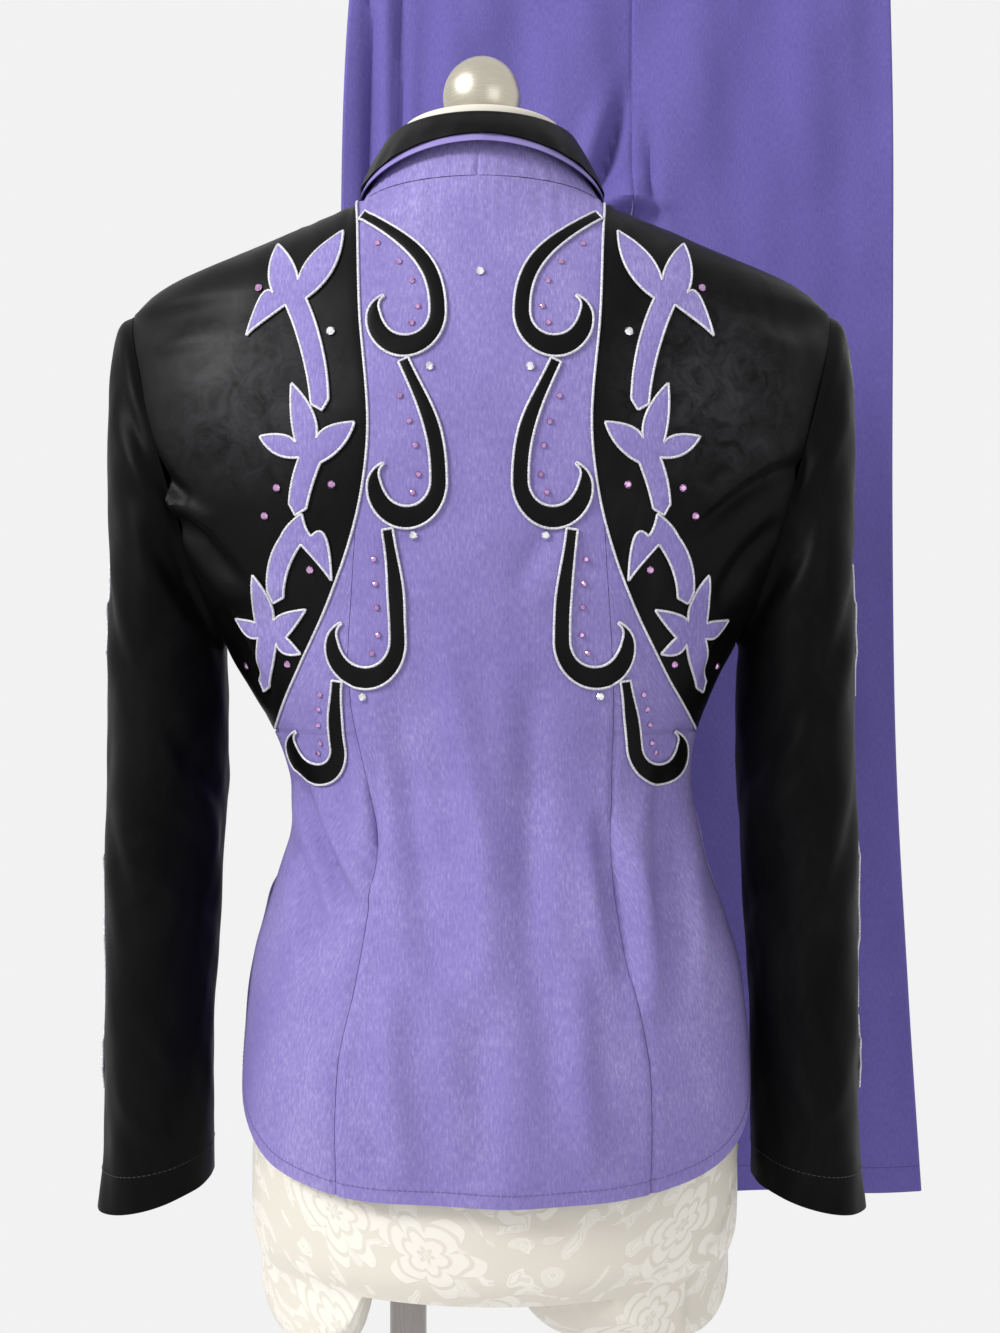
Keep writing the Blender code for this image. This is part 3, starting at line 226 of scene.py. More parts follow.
# Petals from the armhole's side to the middle of the back: degrees from the stem's own line, length, how
# far the belly leans back from the tip, and how far along the petal its sides are drawn out
PETALS = table(
    "sprig turn length curl reach",
    ("top", 110, 0.038, 40, 0.80),
    ("top", 5, 0.046, 0, 0.60),
    ("top", -45, 0.056, -5, 0.60),
    ("tulip", 80, 0.036, 10, 0.65),
    ("tulip", 30, 0.050, 5, 0.60),
    ("tulip", -35, 0.036, -10, 0.65),
    ("hook", -5, 0.018, 0, 0.60),
    ("hook", -115, 0.036, -40, 0.80),
    ("star", 75, 0.028, 5, 0.60),
    ("star", 25, 0.042, 5, 0.60),
    ("star", -40, 0.034, -5, 0.60),
    ("star", -95, 0.025, -5, 0.60),
)
STEM_HALF = 0.0068
FOOT_HALF = 0.0056
PETAL_SPREAD = 36  # widest angle from a petal's belly line to each of its sides
PETAL_PART = 0.35  # or else this share of the angle to the petal beside it
NOTCH = 0.0135  # from a crown to the notch between two petals
LOOP_REACH = 8  # points along an outline within which a loop is looked for
SLEEVE_LEAVES = table(
    "name z length",
    ("upper", 1.125, 0.090),
    ("middle", 0.940, 0.150),
    ("lower", 0.835, 0.050),
)
# Outline of a sleeve's leaf: height in halves of its length, and whether the point is sharp
SLEEVE_LEAF = table(
    "x share corner",
    (0.006, 1.00, 1),
    (0.001, 0.45, 0),
    (-0.007, 0.30, 1),
    (-0.001, 0.00, 0),
    (-0.009, -0.45, 1),
    (0.002, -0.50, 0),
    (0.005, -1.00, 1),
    (0.011, -0.50, 0),
    (0.021, -0.30, 1),
    (0.013, 0.00, 0),
    (0.018, 0.42, 1),
    (0.010, 0.50, 0),
)
SLEEVE_LEAF_STEP = 0.003
SLEEVE_ROUND = 0.058  # radius that takes a leaf's x to a turn round the arm
FORM = table(
    "z half_width back front",
    (0.700, 0.1600, 0.100, 0.086),
    (0.720, 0.1660, 0.108, 0.093),
    (0.780, 0.1665, 0.110, 0.097),
    (0.830, 0.1650, 0.112, 0.099),
    (0.900, 0.1560, 0.104, 0.096),
    (0.940, 0.1450, 0.095, 0.091),
    (0.980, 0.1320, 0.086, 0.085),
    (1.020, 0.1270, 0.081, 0.081),
    (1.060, 0.1360, 0.084, 0.089),
    (1.118, 0.1500, 0.091, 0.104),
    (1.180, 0.1600, 0.097, 0.115),
    (1.250, 0.1700, 0.100, 0.109),
    (1.310, 0.1850, 0.094, 0.092),
    (1.345, 0.1940, 0.087, 0.078),
    (1.362, 0.1950, 0.082, 0.072),
)
SHOULDER_TOP = 1.395
NECK = table(
    "z half_width back front",
    (1.4160, 0.0740, 0.0660, 0.0600),
    (1.4260, 0.0640, 0.0620, 0.0590),
    (1.4400, 0.0570, 0.0570, 0.0570),
    (1.4560, 0.0545, 0.0545, 0.0545),
)
LOBES = table(
    "x rx ry depth left_power right_power",
    (-0.1120, 0.0400, 0.0900, 0.049, 1.8, 9.0),
    (0.0950, 0.0760, 0.0880, 0.049, 3.0, 3.2),
    (-0.0070, 0.0140, 0.0200, 0.007, 3.0, 3.0),
)
TROUSERS = table(
    "z left_outer right_outer",
    (0.640, 0.262, 0.255),
    (0.810, 0.257, 0.2436),
    (1.020, 0.254, 0.2330),
    (1.230, 0.254, 0.2300),
    (1.510, 0.255, 0.2300),
    (1.690, 0.2475, 0.2280),
    (1.745, 0.2380, 0.2200),
    (1.785, 0.2330, 0.2150),
)

# Creases: a line from (x0, z0) to (x1, z1), bowed sideways; a negative height is a trough
BACK_CREASES = table(
    "x0 z0 x1 z1 bow width height",
    (-0.131, 1.030, -0.088, 0.940, 0.003, 0.0060, -0.0028),
    (-0.118, 1.022, -0.076, 0.950, 0.004, 0.0065, 0.0022),
    (-0.074, 1.046, -0.080, 0.962, -0.003, 0.0050, -0.0018),
    (-0.124, 0.985, -0.104, 0.880, 0.002, 0.0090, -0.0022),
    (0.084, 1.000, 0.100, 0.880, -0.003, 0.0075, 0.0026),
    (0.070, 1.010, 0.084, 0.900, 0.002, 0.0070, -0.0020),
    (0.116, 1.035, 0.110, 0.930, 0.004, 0.0070, -0.0022),
    (0.128, 1.020, 0.131, 0.880, -0.003, 0.0080, 0.0018),
    (-0.052, 1.090, -0.034, 0.900, 0.006, 0.0100, -0.0022),
    (-0.020, 1.110, -0.008, 0.880, -0.006, 0.0110, 0.0022),
    (0.036, 1.100, 0.026, 0.880, 0.007, 0.0110, -0.0021),
    (-0.066, 0.910, -0.052, 0.785, 0.003, 0.0100, 0.0023),
    (0.052, 0.920, 0.061, 0.790, 0.004, 0.0110, 0.0022),
    (-0.008, 0.910, -0.003, 0.785, 0.002, 0.0120, -0.0020),
    (-0.060, 1.180, -0.020, 1.120, 0.004, 0.0080, -0.0009),
    (0.020, 1.140, 0.058, 1.200, -0.004, 0.0080, -0.0009),
    (-0.222, 1.245, -0.186, 1.206, 0.004, 0.0055, -0.0026),
    (-0.218, 1.228, -0.170, 1.190, 0.004, 0.0060, 0.0022),
    (-0.196, 1.205, -0.150, 1.150, 0.003, 0.0065, -0.0022),
    (0.214, 1.232, 0.132, 1.178, 0.007, 0.0055, -0.0027),
    (0.206, 1.246, 0.140, 1.196, 0.007, 0.0070, 0.0022),
    (0.196, 1.195, 0.152, 1.140, 0.004, 0.0060, -0.0020),
    (-0.215, 1.310, -0.150, 1.330, 0.003, 0.0090, 0.0012),
    (0.210, 1.300, 0.150, 1.322, 0.003, 0.0090, 0.0012),
    (-0.172, 1.140, -0.140, 1.075, 0.002, 0.0060, -0.0022),
    (0.172, 1.130, 0.146, 1.080, 0.003, 0.0060, -0.0020),
)
FRONT_CREASES = table(
    "x0 z0 x1 z1 bow width height",
    (-0.120, 1.060, -0.078, 0.950, 0.004, 0.0070, -0.0024),
    (-0.106, 1.075, -0.062, 0.960, 0.003, 0.0080, 0.0020),
    (0.122, 1.052, 0.086, 0.930, -0.003, 0.0070, -0.0026),
    (0.100, 1.080, 0.070, 0.940, 0.004, 0.0080, 0.0018),
    (-0.040, 1.130, -0.050, 0.920, 0.006, 0.0130, -0.0018),
    (0.044, 1.110, 0.036, 0.900, -0.005, 0.0150, 0.0016),
    (-0.085, 0.900, -0.095, 0.800, 0.003, 0.0120, 0.0020),
    (0.078, 0.890, 0.090, 0.800, 0.004, 0.0130, -0.0018),
    (-0.190, 1.200, -0.120, 1.150, 0.006, 0.0070, -0.0022),
    (0.192, 1.210, 0.125, 1.165, 0.005, 0.0065, -0.0024),
    (-0.150, 1.030, -0.125, 0.900, 0.003, 0.0080, -0.0020),
    (0.135, 1.010, 0.140, 0.880, 0.003, 0.0080, 0.0020),
    (-0.210, 1.290, -0.140, 1.300, 0.004, 0.0080, 0.0013),
    (0.212, 1.280, 0.150, 1.296, 0.004, 0.0080, 0.0013),
)
CREASE_DEPTH = 2.6  # the tables' heights times this
# Creases on the sleeves: turn in quarter turns round the arm (0 outside, 1 at the back), and height
SLEEVE_CREASES = table(
    "q0 z0 q1 z1 bow width height",
    (0.55, 1.285, 1.55, 1.205, 0.004, 0.0090, -0.0030),
    (0.75, 1.250, 1.75, 1.165, 0.003, 0.0100, 0.0026),
    (1.00, 1.190, 1.95, 1.120, 0.004, 0.0080, -0.0026),
    (0.20, 1.180, 1.05, 1.075, 0.004, 0.0110, -0.0022),
    (1.10, 1.080, 2.05, 1.010, 0.005, 0.0090, -0.0030),
    (0.95, 1.035, 1.95, 0.985, 0.004, 0.0090, 0.0028),
    (1.15, 0.985, 2.10, 0.930, 0.004, 0.0090, -0.0026),
    (0.35, 1.020, 1.05, 0.930, 0.004, 0.0120, -0.0020),
    (0.90, 0.900, 1.60, 0.850, 0.003, 0.0110, -0.0016),
    (0.60, 0.830, 1.40, 0.790, 0.003, 0.0100, 0.0014),
    (2.20, 1.060, 3.10, 0.985, 0.004, 0.0100, -0.0030),
    (2.30, 1.010, 3.20, 0.930, 0.004, 0.0100, 0.0026),
    (2.60, 1.240, 3.60, 1.160, 0.004, 0.0100, -0.0026),
    (3.00, 0.900, 3.70, 0.840, 0.004, 0.0110, -0.0018),
    (3.10, 1.120, 3.90, 1.060, 0.004, 0.0110, 0.0020),
)
# Stones: small ones inside each scroll at these shares of its length, a clear one beside the top of each
# scroll but the first, one on the centre back, and larger ones beside the stems of the sprigs
SCROLL_STONES = (0.10, 0.21, 0.32, 0.43, 0.56)
STONE_INSIDE = 0.0075  # from a scroll's edge
CLEAR_BESIDE = (-0.016, -0.004)
CLEAR_CENTRE = (0.0, 1.347)
STEM_STONES = table("share off", (0.25, 0.0165), (0.62, -0.0170), (1.25, 0.0215))
STONE_ROOM = 0.0042  # no stone comes nearer to a scroll or leaf
STONES = table(
    "name radius lift finish",
    ("stones_clear", 0.0030, 0.0004, "clear"),
    ("stones_clear_yoke", 0.0030, 0.0004, "clear"),
    ("stones_pink", 0.0020, 0.0003, "pink"),
    ("stones_pink_yoke", 0.0026, 0.0003, "pink"),
)
DAMASK_SCALE = 13  # woven flowers to a metre
PAINTED_HIGHLIGHT_AT = (0.145, 1.275)  # painted highlight: the yokes' colour is lighter in blotches round this place on each side, for their sheen
# Folds of the trousers: x from the crotch seam, half sizes, height toward the camera, and slant
TROUSER_FOLDS = table(
    "x z wide high height slant",
    (-0.004, 1.514, 0.0200, 0.016, 0.0150, 0),
    (-0.006, 1.486, 0.0160, 0.013, -0.0100, 0),
    (-0.020, 1.552, 0.0075, 0.045, -0.0140, 0.28),
    (-0.038, 1.547, 0.0120, 0.048, 0.0100, 0.28),
    (-0.180, 1.600, 0.0120, 0.100, -0.0060, 0.05),
    (-0.232, 1.350, 0.0060, 0.450, -0.0110, 0.01),
    (-0.218, 1.350, 0.0080, 0.420, 0.0075, 0.01),
    (-0.205, 1.400, 0.0050, 0.400, -0.0085, 0.01),
    (-0.002, 1.505, 0.0240, 0.006, 0.0100, 0),
    (-0.006, 1.484, 0.0180, 0.007, -0.0150, 0),
    (0.017, 1.530, 0.0050, 0.045, -0.0085, -0.05),
)
# Fold of the collar's fall: k of fall_point, and offsets from the stand's upper edge
FOLD = table(
    "k up out",
    (0.0, 0.0024, -0.0009),
    (0.6, 0.0042, 0.0002),
    (1.0, 0.0042, 0.0015),
    (1.5, 0.0030, 0.0036),
    (2.0, 0.0012, 0.0048),
)
# Strip along the collar's edge: across the strip, and out from the collar
COLLAR_EDGE = table(
    "across out",
    (-0.0055, -0.0022),
    (-0.0010, -0.0021),
    (0.0020, -0.0017),
    (0.0042, -0.0015),
    (0.0055, -0.0017),
)

# Camera and lights
LENS = 36 * 1400 / 1333  # millimetres, for a sensor 36 mm high
CAMERA_AT = (0.0125, -0.97, 1.10)
LIGHTS = table(
    "name place aim size power",
    ("key", (-1.8, -1.3, 2.5), (0, 0, 1.15), (0.7, 0.7), 62),
    ("fill", (1.6, -2.2, 1.2), (0, 0, 1.1), (1.6, 1.6), 6),
    ("back", (0.6, 2.4, 2.4), (0, 0, 1.2), (1.6, 1.2), 22),
)
WORLD_STRENGTH = 0.8
EXPOSURE = 0.15
FLOOR_RADIUS = 1.3


# Camera, light and floor

def camera_and_light():
    scene = bpy.context.scene
    camera = bpy.data.cameras.new("camera")
    camera.lens = LENS
    camera.sensor_width = 36
    seen = bpy.data.objects.new("camera", camera)
    seen.location = CAMERA_AT
    seen.rotation_euler = (math.pi / 2, 0, 0)
    scene.collection.objects.link(seen)
    scene.camera = seen
    for row in LIGHTS:
        light = bpy.data.lights.new(row["name"], "AREA")
        light.shape = "RECTANGLE"
        light.size, light.size_y = row["size"]
        light.energy = row["power"]
        lamp = bpy.data.objects.new(row["name"], light)
        lamp.location = row["place"]
        way = Vector(row["aim"]) - Vector(row["place"])
        lamp.rotation_euler = way.to_track_quat("-Z", "Y").to_euler()
        scene.collection.objects.link(lamp)
    world = bpy.data.worlds.new("world")
    world.use_nodes = True
    background = world.node_tree.nodes["Background"]
    background.inputs["Color"].default_value = (1, 1, 1, 1)
    background.inputs["Strength"].default_value = WORLD_STRENGTH
    scene.world = world
    scene.view_settings.view_transform = "Standard"
    scene.view_settings.exposure = EXPOSURE
    bpy.ops.mesh.primitive_circle_add(
        vertices=96, radius=FLOOR_RADIUS, fill_type="NGON", location=(0, 0, -0.0005),
    )
    floor = bpy.context.object
    floor.name = "floor"
    floor.data.materials.append(plain("floor_pale", (0.86, 0.86, 0.87), 0.6))


# Materials

class Nodes:
    """A material's node tree, with short calls to add and join nodes."""

    def __init__(self, name):
        self.made = bpy.data.materials.new(name)
        self.made.use_nodes = True
        self.tree = self.made.node_tree
        self.shader = self.tree.nodes["Principled BSDF"]

    def add(self, kind, **settings):
        node = self.tree.nodes.new("ShaderNode" + kind)
        for key, value in settings.items():
            setattr(node, key, value)
        return node

    def put(self, socket, value):
        if isinstance(value, bpy.types.NodeSocket):
            self.tree.links.new(value, socket)
        else:
            socket.default_value = value

    def fed(self, node, **values):
        """The outputs of a node, after its inputs are fed by name."""
        for name, value in values.items():
            self.put(node.inputs[name.replace("_", " ")], value)
        return node.outputs

    def joined(self, kind, operation, *parts):
        node = self.add(kind, operation=operation)
        for socket, part in zip(node.inputs, parts):
            self.put(socket, part)
        return node.outputs[0]

    def math(self, operation, *parts):
        return self.joined("Math", operation, *parts)

    def vector(self, operation, *parts):
        return self.joined("VectorMath", operation, *parts)

    def stretched(self, vector, scale):
        return self.vector("MULTIPLY", vector, scale)

    def split(self, vector):
        return self.fed(self.add("SeparateXYZ"), Vector=vector)

    def coordinates(self, kind="Object"):
        return self.add("TexCoord").outputs[kind]

    def noise(self, vector, scale, detail, roughness, distortion=0.0):
        return self.fed(
            self.add("TexNoise"), Vector=vector, Scale=scale, Detail=detail, Roughness=roughness,
            Distortion=distortion,
        )["Fac"]

    def waves(self, vector, scale, direction, distortion):
        node = self.add("TexWave", wave_type="BANDS", bands_direction=direction)
        return self.fed(node, Vector=vector, Scale=scale, Distortion=distortion)["Fac"]

    def span(self, value, low, high, to_low, to_high):
        return self.fed(
            self.add("MapRange"), Value=value, From_Min=low, From_Max=high, To_Min=to_low,
            To_Max=to_high,
        )["Result"]

    def mixed(self, factor, first, second):
        node = self.add("Mix", data_type="RGBA")
        self.put(node.inputs["Factor"], factor)
        self.put(node.inputs[6], (*first, 1) if isinstance(first, tuple) else first)
        self.put(node.inputs[7], (*second, 1) if isinstance(second, tuple) else second)
        return node.outputs[2]

    def bump(self, height, distance, strength, under=None):
        node = self.add("Bump")
        if under is not None:
            self.put(node.inputs["Normal"], under)
        return self.fed(node, Height=height, Distance=distance, Strength=strength)["Normal"]

    def set(self, **values):
        self.fed(self.shader, **values)
        return self.made


def plain(name, colour, roughness):
    return Nodes(name).set(Base_Color=(*colour, 1), Roughness=roughness)


def knit(name, dark, base, light, sheen):
    """Fine ribbed knit: ribs along the grain, with soft cloudy changes of shade."""
    n = Nodes(name)
    place = n.coordinates()
    grain = n.coordinates("UV")
    clouds = n.noise(n.stretched(place, (1, 1, 0.35)), 7, 2, 0.5, 0.2)
    patches = n.noise(n.stretched(place, (1, 1, 0.5)), 30, 3, 0.6, 0.3)
    flecks = n.noise(n.stretched(grain, (1, 0.25, 1)), 700, 3, 0.75)
    shade = n.math("ADD", n.math("MULTIPLY", clouds, 0.30), n.math("MULTIPLY", patches, 0.20))
    shade = n.math("ADD", shade, n.math("MULTIPLY", flecks, 0.55))
    factor = n.span(shade, 0.38, 0.70, 0, 1)
    low = n.mixed(n.span(factor, 0, 0.5, 0, 1), dark, base)
    colour = n.mixed(n.span(factor, 0.5, 1.0, 0, 1), low, light)
    ribs = n.waves(grain, 500, "X", 0.4)
    weft = n.waves(grain, 700, "Y", 0.6)
    weave = n.math("ADD", n.math("MULTIPLY", ribs, 0.7), n.math("MULTIPLY", weft, 0.3))
    rough = n.noise(place, 60, 3, 0.6)
    soft = n.bump(rough, 0.0006, 0.35)
    normal = n.bump(weave, 0.00022, 0.6, soft)
    return n.set(
        Base_Color=colour, Roughness=n.span(patches, 0.3, 0.7, 0.60, 0.78), Normal=normal,
        Sheen_Weight=sheen, Sheen_Roughness=0.35, Sheen_Tint=(*light, 1), Specular_IOR_Level=0.15,
    )


def suede(name, painted_highlight, sheen, specular):
    """Black brushed cloth: a short nap that catches light in patches, with a painted highlight where its
    colour is lighter in blotches round one place on each yoke.
    """
    n = Nodes(name)
    place = n.coordinates()
    brushed = n.noise(n.stretched(place, (1, 1, 0.5)), 16, 5, 0.6, 1.2)
    nap = n.noise(place, 1400, 3, 0.7)
    grain = n.noise(place, 220, 4, 0.65)
    factor = n.span(brushed, 0.42, 0.72, 0, 1)
    colour = n.mixed(factor, (0.0011, 0.0011, 0.0013), (0.0042, 0.0040, 0.0044))
    # painted highlight: the colour is made lighter in blotches round one place on each side, standing in
    # for sheen
    x, _, z = n.split(place)
    beside = n.math("SUBTRACT", n.math("ABSOLUTE", x), PAINTED_HIGHLIGHT_AT[0])
    above = n.math("SUBTRACT", z, PAINTED_HIGHLIGHT_AT[1])
    squares = n.math("MULTIPLY_ADD", beside, beside, n.math("MULTIPLY", above, above))
    away = n.math("SQRT", squares)
    blotches = n.span(n.noise(place, 60, 6, 0.75, 0.8), 0.36, 0.68, 0, 1)
    painted_highlight_mask = n.math("MULTIPLY", n.span(away, 0.010, 0.075, painted_highlight, 0), blotches)
    colour = n.mixed(painted_highlight_mask, colour, (0.030, 0.030, 0.034))
    fuzz = n.mixed(n.span(nap, 0.45, 0.75, 0, 0.30), colour, (0.0080, 0.0078, 0.0085))
    normal = n.bump(nap, 0.00018, 0.5, n.bump(grain, 0.0003, 0.25))
    return n.set(
        Base_Color=fuzz, Roughness=n.span(brushed, 0.35, 0.75, 0.52, 0.38), Normal=normal,
        Sheen_Weight=sheen, Sheen_Roughness=0.35, Specular_IOR_Level=specular,
    )


def damask(name):
    """Ivory cloth with flowers woven in a second, glossier tone."""
    n = Nodes(name)
    grain = n.coordinates("UV")
    wander = n.fed(n.add("TexNoise"), Vector=grain, Scale=18)["Color"]
    offset = n.vector("MULTIPLY_ADD", wander, (0.022, 0.022, 0), grain)
    cells = n.fed(
        n.add("TexVoronoi", voronoi_dimensions="2D", feature="F1"), Vector=offset, Scale=DAMASK_SCALE,
        Randomness=0.55,
    )
    x, y, _ = n.split(n.vector("SUBTRACT", offset, cells["Position"]))
    angle = n.math("ARCTAN2", y, x)
    chance = n.fed(n.add("SeparateColor"), Color=cells["Color"])[0]
    turn = n.math("MULTIPLY_ADD", chance, 6.28, angle)
    petals = n.math("ABSOLUTE", n.math("COSINE", n.math("MULTIPLY", turn, 3.0)))
    reach = n.math("MULTIPLY_ADD", petals, 0.018, 0.012)
    radius = n.math("DIVIDE", cells["Distance"], DAMASK_SCALE)
    flower = n.span(n.math("SUBTRACT", reach, radius), -0.0006, 0.0006, 0, 1)
    ring = n.math("PINGPONG", n.math("MULTIPLY_ADD", petals, -0.004, radius), 0.0042)
    veins = n.span(ring, 0.0008, 0.0014, 0, 1)
    inside = n.math("MULTIPLY", flower, veins)
    curls = n.noise(grain, 30, 1, 0.5, 1.8)
    band = n.math("ABSOLUTE", n.math("SUBTRACT", curls, 0.60))
    broad = n.span(curls, 0.565, 0.575, 0, 1)
    split = n.span(n.math("PINGPONG", band, 0.020), 0.0030, 0.0060, 0.25, 1)
    leaves = n.math("MULTIPLY", n.math("MULTIPLY", broad, split), n.math("SUBTRACT", 1.0, flower))
    pattern = n.math("MAXIMUM", inside, leaves)
    threads = n.waves(grain, 420, "X", 0.5)
    cross = n.waves(grain, 420, "Y", 0.5)
    age = n.noise(n.coordinates(), 5, 3, 0.6)
    ground = n.mixed(n.span(age, 0.3, 0.7, 0, 1), (0.55, 0.515, 0.445), (0.60, 0.565, 0.495))
    colour = n.mixed(pattern, ground, (0.670, 0.640, 0.575))
    weave = n.math("ADD", n.math("MULTIPLY", threads, 0.5), n.math("MULTIPLY", cross, 0.5))
    normal = n.bump(weave, 0.00015, 0.4, n.bump(pattern, 0.00035, 0.5))
    return n.set(
        Base_Color=colour, Roughness=n.span(pattern, 0, 1, 0.66, 0.40), Normal=normal, Sheen_Weight=0.12,
        Sheen_Roughness=0.4,
    )


def brushed(name, colour, low, high, scale, stretch):
    """Metal with fine lines along one way, between two roughnesses."""
    n = Nodes(name)
    place = n.coordinates()
    lines = n.noise(n.stretched(place, stretch), scale, 4, 0.6)
    smudges = n.noise(place, 40, 3, 0.6)
    rough = n.math("ADD", n.span(lines, 0.3, 0.7, low, high), n.span(smudges, 0.4, 0.8, 0, 0.06))
    tone = n.mixed(n.span(lines, 0.3, 0.7, 0, 1), tuple(c * 0.86 for c in colour), colour)
    return n.set(Base_Color=tone, Metallic=1.0, Roughness=rough, Normal=n.bump(lines, 0.0001, 0.25))


def corded(name):
    """Twisted, slightly shiny white cord."""
    n = Nodes(name)
    place = n.coordinates()
    strands = n.noise(place, 900, 2, 0.5)
    colour = n.mixed(n.span(strands, 0.35, 0.7, 0, 1), (0.36, 0.35, 0.40), (0.70, 0.69, 0.73))
    return n.set(
        Base_Color=colour, Roughness=0.42, Normal=n.bump(strands, 0.0002, 0.5), Sheen_Weight=0.25,
        Specular_IOR_Level=0.6,
    )


def stone(name, colour):
    """A foil-backed stone, whose facets differ in shade."""
    n = Nodes(name)
    tone = n.noise(n.coordinates(), 260, 1, 0.5)
    shade = n.mixed(n.span(tone, 0.35, 0.65, 0, 1), tuple(c * 0.62 for c in colour), colour)
    return n.set(Base_Color=shade, Metallic=0.85, Roughness=0.07, Coat_Weight=1.0, Coat_Roughness=0.03)


MADE = {}


def materials():
    MADE["lavender"] = knit(
        "lavender_knit", (0.150, 0.118, 0.335), (0.205, 0.168, 0.405), (0.310, 0.275, 0.510), 0.08,
    )
    MADE["purple"] = knit(
        "purple_knit", (0.088, 0.070, 0.265), (0.112, 0.090, 0.310), (0.145, 0.122, 0.365), 0.04,
    )
    # the yokes carry the painted highlight at full strength; the sleeves have none
    MADE["black"] = suede("black_nap", 1.0, 0.010, 0.085)
    MADE["black_sleeve"] = suede("black_nap_dull", 0.0, 0.006, 0.045)
    MADE["ivory"] = damask("ivory_figured")
    MADE["cord"] = corded("white_twist")
    # the lavender thread is partly its own colour and partly painted shade: darker than the cloth to
    # stand in for the shade of a sunken stitch line
    MADE["thread_lavender_groove_shade"] = plain("thread_lavender_groove_shade", (0.115, 0.090, 0.240), 0.5)
    MADE["thread_purple"] = plain("thread_purple", (0.060, 0.045, 0.170), 0.5)
    MADE["thread_black"] = plain("thread_black", (0.014, 0.014, 0.015), 0.5)
    MADE["clear"] = stone("clear_facets", (0.93, 0.94, 0.98))
    MADE["pink"] = stone("pink_facets", (0.62, 0.33, 0.62))
    MADE["nickel"] = brushed("nickel_turned", (0.60, 0.555, 0.46), 0.24, 0.36, 300, (0.15, 0.15, 6))
    MADE["dark"] = brushed("chrome_dark", (0.30, 0.28, 0.27), 0.12, 0.20, 200, (4, 4, 0.2))
    MADE["steel"] = brushed("steel_fine", (0.62, 0.62, 0.63), 0.22, 0.34, 300, (5, 5, 0.4))
    MADE["chrome"] = brushed("chrome_bright", (0.72, 0.73, 0.74), 0.08, 0.14, 160, (0.3, 4, 4))


# Numbers on arrays

def column(rows, name, at, key="z"):
    """Reads a column on a smooth curve through the table's rows, for an array of places."""
    xs = np.array([row[key] for row in rows], float)
    ys = np.array([row[name] for row in rows], float)
    slopes = np.empty(len(xs))
    slopes[1:-1] = (ys[2:] - ys[:-2]) / (xs[2:] - xs[:-2])
    slopes[0] = (ys[1] - ys[0]) / (xs[1] - xs[0])
    slopes[-1] = (ys[-1] - ys[-2]) / (xs[-1] - xs[-2])
    at = np.clip(at, xs[0], xs[-1])
    k = np.clip(np.searchsorted(xs, at, side="right") - 1, 0, len(xs) - 2)
    span = xs[k + 1] - xs[k]
    u = (at - xs[k]) / span
    return (
        ys[k] * (1 - u) ** 2 * (1 + 2 * u)
        + ys[k + 1] * u**2 * (3 - 2 * u)
        + slopes[k] * span * u * (1 - u) ** 2
        - slopes[k + 1] * span * u**2 * (1 - u)
    )


def smooth(u):
    u = np.clip(u, 0.0, 1.0)
    return u * u * (3 - 2 * u)


def mix(a, b, u):
    return a + (b - a) * u


def unit(v):
    return v / np.maximum(np.linalg.norm(v, axis=-1, keepdims=True), 1e-12)


def stack(*parts):
    return np.stack(np.broadcast_arrays(*parts), axis=-1)


def sway(z):
    return LEAN * smooth((1.11 - z) / 0.14)


def hill(d, width):
    return np.exp(-((d / width) ** 2))


def creased(rows, x, z, names=("x0", "z0", "x1", "z1")):
    """Sum of the creases at x and z. Each fades out towards its ends."""
    total = np.zeros(np.broadcast(x, z).shape)
    for row in rows:
        x0, z0, x1, z1 = (row[n] for n in names)
        dx, dz = x1 - x0, z1 - z0
        length = math.hypot(dx, dz)
        u = ((x - x0) * dx + (z - z0) * dz) / length**2
        d = ((x - x0) * dz - (z - z0) * dx) / length - row["bow"] * 4 * u * (1 - u)
        fade = np.clip(4 * u * (1 - u), 0, 1) ** 0.7
        shape = hill(d, row["width"]) - 0.35 * hill(d - row["width"] * 1.9, row["width"])
        total = total + row["height"] * fade * shape
    return total


def rumple(x, z, amount, seed):
    """Slow uneven waves, no higher than amount."""
    a = np.sin(x * 61 + z * 23 + seed) + np.sin(x * 37 - z * 49 + 1.7 * seed + 2.0)
    b = np.sin(x * 118 + z * 71 + 0.6 * seed + 1.0) * 0.5 + np.sin(x * 89 - z * 127 + seed) * 0.5
    return amount * (a + b) / 3


# The jacket's surface

def armhole(z):
    """Half width and half depth of the jacket's armhole at a height."""
    (tip_x, tip_z), (pit_x, pit_z) = SHOULDER_TIP, ARMPIT
    c = np.clip((2 * z - tip_z - pit_z) / (tip_z - pit_z), -1, 1)
    return (tip_x + pit_x) / 2 + (tip_x - pit_x) / 2 * c, ARMHOLE_HALF_DEPTH * np.sqrt(1 - c * c)


def section(facing, z):
    """Where the jacket's cut at a height ends, how deep it is and how far it turns."""
    depth = column(BODY, "back" if facing < 0 else "front", z)
    x, y = armhole(z)
    into = smooth((z - ARMPIT[1]) / 0.05) * smooth((SHOULDER_TIP[1] - z) / 0.04)
    low, high = z <= ARMPIT[1], z >= SHOULDER_TIP[1]
    half = np.where(high, column(RIDGE, "half_width", z), x)
    half = np.where(low, column(BODY, "half_width", z), half)
    end = np.where(low | high, 0.0, y)
    turn = np.where(low | high, math.pi / 2, mix(math.pi / 2, ARMHOLE_TURN, into))
    return half, end, depth, turn


def jacket(facing, t, z):
    """The plain surface: facing is -1 at the back, t runs from -1 to 1 between the sides."""
    x_end, y_end, depth, turn = section(facing, z)
    settle = smooth((z - ARMPIT[1]) / 0.035) * smooth((SHOULDER_TIP[1] - z) / 0.035)
    y_end = y_end * mix(settle, 1.0, np.abs(t) ** 6)
    x = x_end * np.sin(t * turn) / np.sin(turn)
    y = depth + (y_end - depth) * (1 - np.cos(t * turn)) / (1 - np.cos(turn))
    return stack(x + sway(z), facing * y, z + 0 * x)


